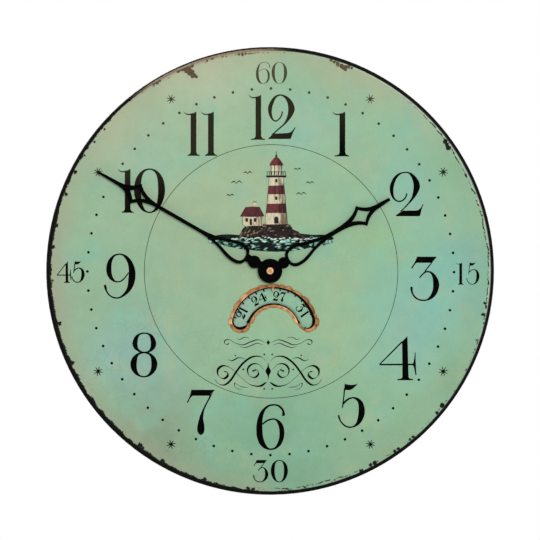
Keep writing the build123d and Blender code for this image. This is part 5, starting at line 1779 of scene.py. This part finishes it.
@dataclass
class DateWork:
    """The window's copper lip, and the days on the disc behind it.

    Attributes:
        samples: how many points each run of the edge has, in order.
        petals: how many folds the lip has on each run.
        slack: how far the lip stays back from the opening's edge.
        lip_width: the lip's least width, most at the upper left and at the right.
        wall_foot: how far the opening's black wall leans in over the disc as a painted shadow, most away from
            the light and in the corners.
    """

    axis: Point = (3.0, -47.4)
    plate_depth: float = 33.4
    disc_depth: float = 31.2
    middle: float = 27.4
    half_width: float = 6.2
    half_sweep: float = 75.0
    wall_depth: float = 1.42
    foot_calm: float = 0.45
    petal_reach: float = 1.1
    petal_lift: float = 0.6
    fold_shade: float = 0.55
    tooth_across: float = -1.0
    samples: ClassVar[dict[LipRun, int]] = {
        LipRun.TOP: 230, LipRun.RIGHT_END: 64, LipRun.FOOT: 150, LipRun.LEFT_END: 64
    }
    petals: ClassVar[dict[LipRun, int]] = {
        LipRun.TOP: 12, LipRun.RIGHT_END: 3, LipRun.LEFT_END: 3, LipRun.FOOT: 9
    }
    slack: ClassVar[dict[LipRun, Swell]] = {
        LipRun.TOP: Swell(0.68),
        LipRun.RIGHT_END: Swell(0.68, 0.22, bow=-0.55, humps=((-1.3, 1.0, 0.3),)),
        LipRun.LEFT_END: Swell(0.9, -0.22, humps=((-1.2, 0.0, 0.25),)),
        LipRun.FOOT: Swell(0.9),
    }
    lip_width: ClassVar[dict[LipRun, Swell]] = {
        LipRun.TOP: Swell(1.65, humps=((1.1, 0.24, 0.16),)),
        LipRun.RIGHT_END: Swell(1.9, humps=((1.1, 0.14, 0.2),), ramps=((-0.6, 0.6, 0.2),)),
        LipRun.LEFT_END: Swell(2.3, humps=((-0.7, 0.0, 0.3),)),
        LipRun.FOOT: Swell(2.3),
    }
    wall_foot: ClassVar[dict[LipRun, Swell]] = {
        LipRun.TOP: Swell(0.1, ramps=((0.5, 0.46, 0.12), (0.9, 0.66, 0.24))),
        LipRun.RIGHT_END: Swell(0.3, humps=((1.5, 0.12, 0.33),)),
        LipRun.LEFT_END: Swell(0.3, humps=((1.3, 0.35, 0.28),)),
        LipRun.FOOT: Swell(-0.2, curve=1.2, humps=((0.9, 0.0, 0.035), (0.9, 1.0, 0.035))),
    }
    days: int = 31
    shown: tuple[int, ...] = (3, 6, 9, 12, 15, 18, 21, 24, 27, 31)
    day_at_top: float = 26.228
    digit_height: float = 7.7
    digit_bold: float = 0.12
    digit_swell: float = 0.19
    digit_middle: float = 27.55
    nudges: ClassVar[dict[int, Point]] = {21: (-1.8, 1.7), 27: (0.4, -0.4), 31: (-0.2, 0.2)}
    digit_gap: float = 0.5
    wide_gaps: ClassVar[dict[int, float]] = {31: 1.9}
    tick_ring: float = 32.5
    tick_length: float = 1.9
    tick_width: float = 1.2
    seed: int = 5

    def build(self) -> None:
        """Make the lip, the numerals and the ticks."""
        self._lip()
        layer = PrintLayer(self.disc_depth, 0.04)
        for day in self.shown:
            aside, outwards = self.nudges.get(day, (0.0, 0.0))
            turn = (day - self.day_at_top) * 2 * math.pi / self.days + math.radians(aside)
            signs = ["2n" if sign == "2" else sign for sign in str(day)]
            widths = [Numerals.width(sign) * self.digit_height / 100 for sign in signs]
            gap = self.wide_gaps.get(day, self.digit_gap)
            left = self.axis[0] - (sum(widths) + gap * (len(signs) - 1)) / 2
            low = self.axis[1] + self.digit_middle + outwards - self.digit_height / 2
            for sign, wide in zip(signs, widths):
                box = (left, low), (wide, self.digit_height)
                Numerals.draw(layer, sign, *box, turn, self.axis, self.digit_bold, self.digit_swell)
                left += wide + gap
        layer.piece("date_numerals", DIAL_INK, "date")
        first = -self.day_at_top * 360 / self.days
        MarkRing(
            "date_ticks", Mark.TICK, DIAL_INK, self.days, self.tick_ring, self.disc_depth, self.tick_length,
            self.tick_width, turn=first, axis=self.axis, body="date", lift=0.04,
        ).build()

    def _edge(self) -> list[tuple[np.ndarray, np.ndarray, float, LipRun]]:
        """Return the window's outline.

        Returns:
            A point, its outward direction, its share of its run, and the run that it lies on.
        """
        centre = np.array(self.axis)
        sweep = math.radians(self.half_sweep)
        rows = []

        def way(angle: float) -> np.ndarray:
            """Return the direction at a clockwise angle from the top."""
            return np.array([math.sin(angle), math.cos(angle)])

        for run, count in self.samples.items():
            side = 1.0 if run in (LipRun.TOP, LipRun.RIGHT_END) else -1.0
            for share in np.linspace(0, 1, count, endpoint=False):
                if run in (LipRun.TOP, LipRun.FOOT):
                    ray = way(side * sweep * (2 * share - 1))
                    point, facing = centre + (self.middle + side * self.half_width) * ray, side * ray
                else:
                    facing = way(side * (sweep + math.pi * (share if side > 0 else 1 - share)))
                    point = centre + self.middle * way(side * sweep) + self.half_width * facing
                rows.append((point, facing, share, run))
        return rows

    def _petals(self) -> dict[LipRun, list[Petal]]:
        """Return each run's petals, uneven and in a fixed order."""
        chance = random.Random(self.seed)
        ranges = ((0.45, 1.2), (0.7, 1.5), (-0.3, 0.22))
        runs = {}
        for run, count in self.petals.items():
            cuts = np.cumsum([0.0] + [chance.uniform(0.6, 1.4) for _ in range(count)])
            cuts /= cuts[-1]
            runs[run] = [
                Petal(low, high - low, *(chance.uniform(*limits) for limits in ranges))
                for low, high in zip(cuts, cuts[1:])
            ]
        return runs

    @staticmethod
    def _petal(petals: list[Petal], share: float) -> Place:
        """Return how far the petal at a share of its run stands out, how deep its fold is, and its painted
        light, which falls off along it.
        """
        petal = next((one for one in petals if share < one.start + one.length), petals[-1])
        along = min(1.0, max(0.0, (share - petal.start) / petal.length)) ** petal.skew
        rise = math.sin(math.pi * along)
        return petal.bold * rise**0.55, 1.0 - rise**0.5, petal.tone * rise**0.3 + 0.25 * (0.5 - along)

    def _lip(self) -> None:
        """Make the lip of torn and folded copper with its painted light, and the black wall of the opening
        inside it, which leans in as a painted shadow.
        """
        runs = self._petals()
        shape, wall = bmesh.new(), bmesh.new()
        painted_light = shape.verts.layers.float.new("painted_light")
        rows, sides = [], []
        for k, (point, facing, share, run) in enumerate(self._edge()):
            petal, fold, tone = self._petal(runs[run], share)
            wobble = math.sin(k * 0.31) * 0.12 + math.sin(k * 0.73 + 1.0) * 0.08
            calm = self.foot_calm if run is LipRun.FOOT else 1.0
            wide = self.lip_width[run].at(share) + self.petal_reach * petal * calm + wobble
            slack = self.slack[run].at(share)
            lip_edge = point + facing * slack
            lift = 0.15 + self.petal_lift * petal * calm
            # Painted light: petals lighter and folds darker, and the lip darker where it faces right, as if
            # lit from the right.
            shift = (tone if calm == 1.0 else 0.07 + 0.4 * tone) - self.fold_shade * fold * calm
            shift -= (0.2 if calm == 1.0 else 0.13) * facing[0]
            # Each row gives offset, height and painted light: dark where the lip meets the plate, light on
            # its crest and outer fold.
            section = (
                (0.12, -0.2, 0.0),
                (0.02, 0.3, 0.2),
                (0.3, 0.62 + wobble * 0.5, 0.86 + shift),
                (0.75, 0.58, 0.66 + shift),
                (0.42 * wide, 0.42 + 0.3 * lift, 0.46 + shift),
                (0.66 * wide, 0.4 + 0.55 * lift, 0.54 + shift),
                (0.86 * wide, 0.32 + 0.5 * lift, 0.8 + shift),
                (wide, 0.1 + 0.2 * lift, 0.55),
                (wide - 0.08, -0.1, 0.1),
            )
            row = []
            for offset, height, shine in section:
                row.append(shape.verts.new(self._spot(lip_edge + facing * offset, height)))
                row[-1][painted_light] = min(1.0, max(0.0, shine))
            rows.append(row)
            # The black wall leans in over the disc to stand as a painted shadow.
            foot = self.wall_foot[run].at(share) - wobble * 0.5
            over, low = slack + 0.16, -self.wall_depth
            corners = ((over, 0.02), (over, 0.24), (slack, 0.24), (-foot, low), (0.36, low), (0.36, 0.02))
            spots = [self._spot(point + facing * offset, height) for offset, height in corners]
            sides.append([wall.verts.new(spot) for spot in spots])
        skin(shape, rows, closed=True)
        skin(wall, sides, closed=True)
        self._tooth(shape, painted_light)
        lip = self._finish_shape("window_lip", shape, LIP_COPPER)
        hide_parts("date_frame")
        self._finish_shape("window_edge_and_shadow", wall, EDGE_AND_SHADOW_BLACK)

    def _spot(self, place: np.ndarray, height: float) -> Place:
        """Return a point of the dial's plane at a height above the plate, in metres."""
        return place[0] * MM, -(self.plate_depth + height) * MM, place[1] * MM

    @staticmethod
    def _finish_shape(name: str, shape: bmesh.types.BMesh, finish: Finish) -> bpy.types.Object:
        """Close a shape, smooth it and put it in the scene."""
        bmesh.ops.recalc_face_normals(shape, faces=shape.faces)
        for face in shape.faces:
            face.smooth = True
        return place_piece(name, plain_mesh(name, shape), finish, "clock")

    def _tooth(self, shape: bmesh.types.BMesh, painted_light: Value) -> None:
        """Add the folded pointer at the top of the window."""
        # The last column is painted light: dark at the foot, light on the folded top.
        spots = (
            (-1.8, 34.4, -0.2, 0.1), (1.7, 34.4, -0.2, 0.2), (-0.05, 29.8, -0.15, 0.2),
            (-0.7, 34.8, 0.95, 0.5), (0.9, 34.8, 0.95, 1.0), (0.1, 30.2, 0.5, 1.0),
        )
        verts = []
        for across, up, height, tone in spots:
            place = np.array([self.axis[0] + self.tooth_across + across, self.axis[1] + up])
            verts.append(shape.verts.new(self._spot(place, height)))
            verts[-1][painted_light] = tone
        bmesh.ops.convex_hull(shape, input=verts)


@dataclass
class RearMarks:
    """Raised signs on the back of the movement: polarity of the cell and the way the knob turns."""

    depth: float = 4.5
    knob: Point = (10.43, -2.8)
    sign_level: float = -9.4
    sign_across: float = 21.0
    sign_half: float = 1.3
    bar_half: float = 0.3
    arrow_ring: float = 6.6
    arrow_sweep: tuple[float, float] = (20.0, 150.0)
    head_sweep: tuple[float, float] = (151.0, 168.0)

    def build(self) -> None:
        """Mould the signs."""
        layer = PrintLayer(self.depth, -0.02, -0.14)
        half, thin, level = self.sign_half, self.bar_half, self.sign_level
        for across, positive in ((self.sign_across, True), (-self.sign_across, False)):
            layer.boxes((across - half, level - thin, across + half, level + thin))
            if positive:
                for low, high in ((-half, -thin - 0.02), (thin + 0.02, half)):
                    layer.boxes((across - thin, level + low, across + thin, level + high))
        ring = self.arrow_ring
        angles = np.linspace(*self.arrow_sweep, 14)
        arc = [(*self._at(turn, ring + thin), *self._at(turn, ring - thin)) for turn in angles]
        layer.ladder(arc, smooth=False)
        root, end = self.head_sweep
        tip = self._at(end, ring)
        head = ((*self._at(root, ring + 1.0), *self._at(root, ring - 1.0)), (*(tip + 0.03), *(tip - 0.03)))
        layer.ladder(head, smooth=False)
        layer.piece("rear_marks", MARK_PLASTIC)

    def _at(self, angle: float, radius: float) -> np.ndarray:
        """Return the place at an angle in degrees and a radius about the knob."""
        turn = math.radians(angle)
        return np.array(self.knob) + radius * np.array([math.cos(turn), math.sin(turn)])


@dataclass
class Dressing:
    """Finishes of the model's own solids."""

    nodes: dict[str, bpy.types.Object]
    table: tuple[tuple[Finish, tuple[str, ...]], ...] = (
        (DIAL_PAINT, ("dial_plate",)),
        (BOARD_PAINT, ("dial_board",)),
        (DATE_PAINT, ("date_disc",)),
        (LIP_COPPER, ("date_frame",)),
        (HAND_LACQUER, ("hour_hand", "minute_hand")),
        (NUT_COPPER, ("hand_nut",)),
        (ARBOR_COPPER, ("centre_wheel",)),
        (DARK_BRASS, ("hour_collet", "minute_collet")),
        (FIBREBOARD, ("rear_hoop",)),
        (ZINC, ("hoop_screws", "hanger_screws", "cover_screws", "date_clip", "idler_clips")),
        (YELLOW_ZINC, ("keyhole_hanger",)),
        (CASE_PLASTIC, ("movement_case",)),
        (COVER_PLASTIC, ("movement_cover",)),
        (KNOB_PLASTIC, ("set_knob",)),
        (RUBBER, ("rubber_gasket",)),
        (BRASS, ("threaded_bush", "bush_nut", "bush_washer", "date_post", "idler_posts", "date_pinion")),
        (LAMINATION, ("stator", "coil_core")),
        (BOBBIN, ("coil_bobbin",)),
        (WIRE, ("coil_winding",)),
        (MAGNET, ("rotor",)),
        (LAMINATE, ("circuit_board",)),
        (NICKEL, ("crystal_can", "contact_plus", "contact_minus")),
        (SLEEVE, ("battery",)),
        (ACETAL, ("step_wheel", "fourth_wheel", "third_wheel", "minute_wheel", "hour_wheel")),
        (ACETAL, ("first_idler", "second_idler", "date_gear")),
    )

    def build(self) -> None:
        """Give every solid its finish."""
        left = set(self.nodes)
        for finish, names in self.table:
            for name in names:
                finish.cover(self.nodes[name].data)
                left.discard(name)
        LOG.info("%d solids dressed, %d left", len(self.nodes) - len(left), len(left))


@dataclass
class Studio:
    """Camera, soft light, white surroundings and a pale floor."""

    frame_width: float = 433.84
    frame_depth: float = 31.0
    distance: float = 3000.0
    aim: Point = (-0.08, 0.72)
    floor_level: float = -330.0
    floor_half: float = 0.9
    key_place: Place = (0.24, -2.06, 0.28)
    key_size: float = 0.42
    key_power: float = 20.6
    key_tint: Place = (0.972, 0.986, 0.973)
    rear_place: Place = (-0.9, 1.5, 1.1)
    rear_size: float = 1.2
    rear_power: float = 28.0
    rear_tint: Place = (1.0, 0.99, 0.98)
    fill: float = 0.42
    fill_tint: Colour = (0.95, 0.99, 1.0, 1.0)

    def build(self) -> None:
        """Set up the stage."""
        scene = bpy.context.scene
        scene.view_settings.view_transform = "Standard"
        self._camera(scene)
        self._lamp("key_light", self.key_place, self.key_size, self.key_power, self.key_tint)
        self._lamp("rear_light", self.rear_place, self.rear_size, self.rear_power, self.rear_tint)
        self._world(scene)
        self._floor()

    def _camera(self, scene: bpy.types.Scene) -> None:
        """Place a long lens straight in front of the dial."""
        lens = bpy.data.cameras.new("front_camera")
        lens.sensor_width = 36.0
        lens.lens = lens.sensor_width * self.distance / self.frame_width
        lens.clip_end = 50.0
        camera = add_object("front_camera", lens)
        camera.location = (self.aim[0] * MM, -(self.distance + self.frame_depth) * MM, self.aim[1] * MM)
        camera.rotation_euler = (math.pi / 2, 0.0, 0.0)
        scene.camera = camera

    @staticmethod
    def _lamp(name: str, place: Place, size: float, power: float, tint: Place) -> None:
        """Hang a square soft light that faces the clock.

        Args:
            name: the light's name.
            place: where it hangs, in metres.
            size: its side, in metres.
            power: its power in watts.
            tint: its colour.
        """
        light = bpy.data.lights.new(name, "AREA")
        light.shape = "SQUARE"
        light.size = size
        light.energy = power
        light.color = tint
        lamp = add_object(name, light)
        lamp.location = place
        lamp.rotation_euler = (-Vector(place)).to_track_quat("-Z", "Y").to_euler()

    def _world(self, scene: bpy.types.Scene) -> None:
        """Surround the clock with white that lights it at a plain level."""
        world = bpy.data.worlds.new("white_room")
        scene.world = world
        world.use_nodes = True
        world.node_tree.nodes.clear()
        desk = NodeDesk(world.node_tree)
        soft = desk.node("ShaderNodeBackground", {"Color": self.fill_tint, "Strength": self.fill})
        white = desk.node("ShaderNodeBackground", {"Color": "ffffff", "Strength": 1.0})
        mixed = desk.node("ShaderNodeMixShader", {0: desk.seen(), 1: soft.outputs[0], 2: white.outputs[0]})
        desk.node("ShaderNodeOutputWorld", {"Surface": mixed.outputs[0]})

    def _floor(self) -> None:
        """Lay a pale floor well below the clock."""
        shape = bmesh.new()
        bmesh.ops.create_grid(shape, x_segments=1, y_segments=1, size=self.floor_half)
        mesh = plain_mesh("floor", shape)
        FLOOR_PALE.cover(mesh)
        floor = add_object("floor", mesh)
        floor.location = (0.0, 0.0, self.floor_level * MM)


def corners(box: Iterable[Vector]) -> list[list[float]]:
    """Return a box's corners as plain lists."""
    return [list(map(float, corner)) for corner in box]


def main() -> None:
    """Load the model, dress it, add the printed and beaten pieces, and light it."""
    logging.basicConfig(level=logging.INFO, format="%(message)s")
    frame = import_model()
    Dressing(frame["nodes"]).build()
    for assembly in (DialFace(), CoastPicture(), Penwork(), DateWork(), RearMarks(), Studio()):
        assembly.build()
        LOG.info("%s is done", type(assembly).__name__)
    bpy.context.view_layer.update()


if __name__ == "__main__":
    main()
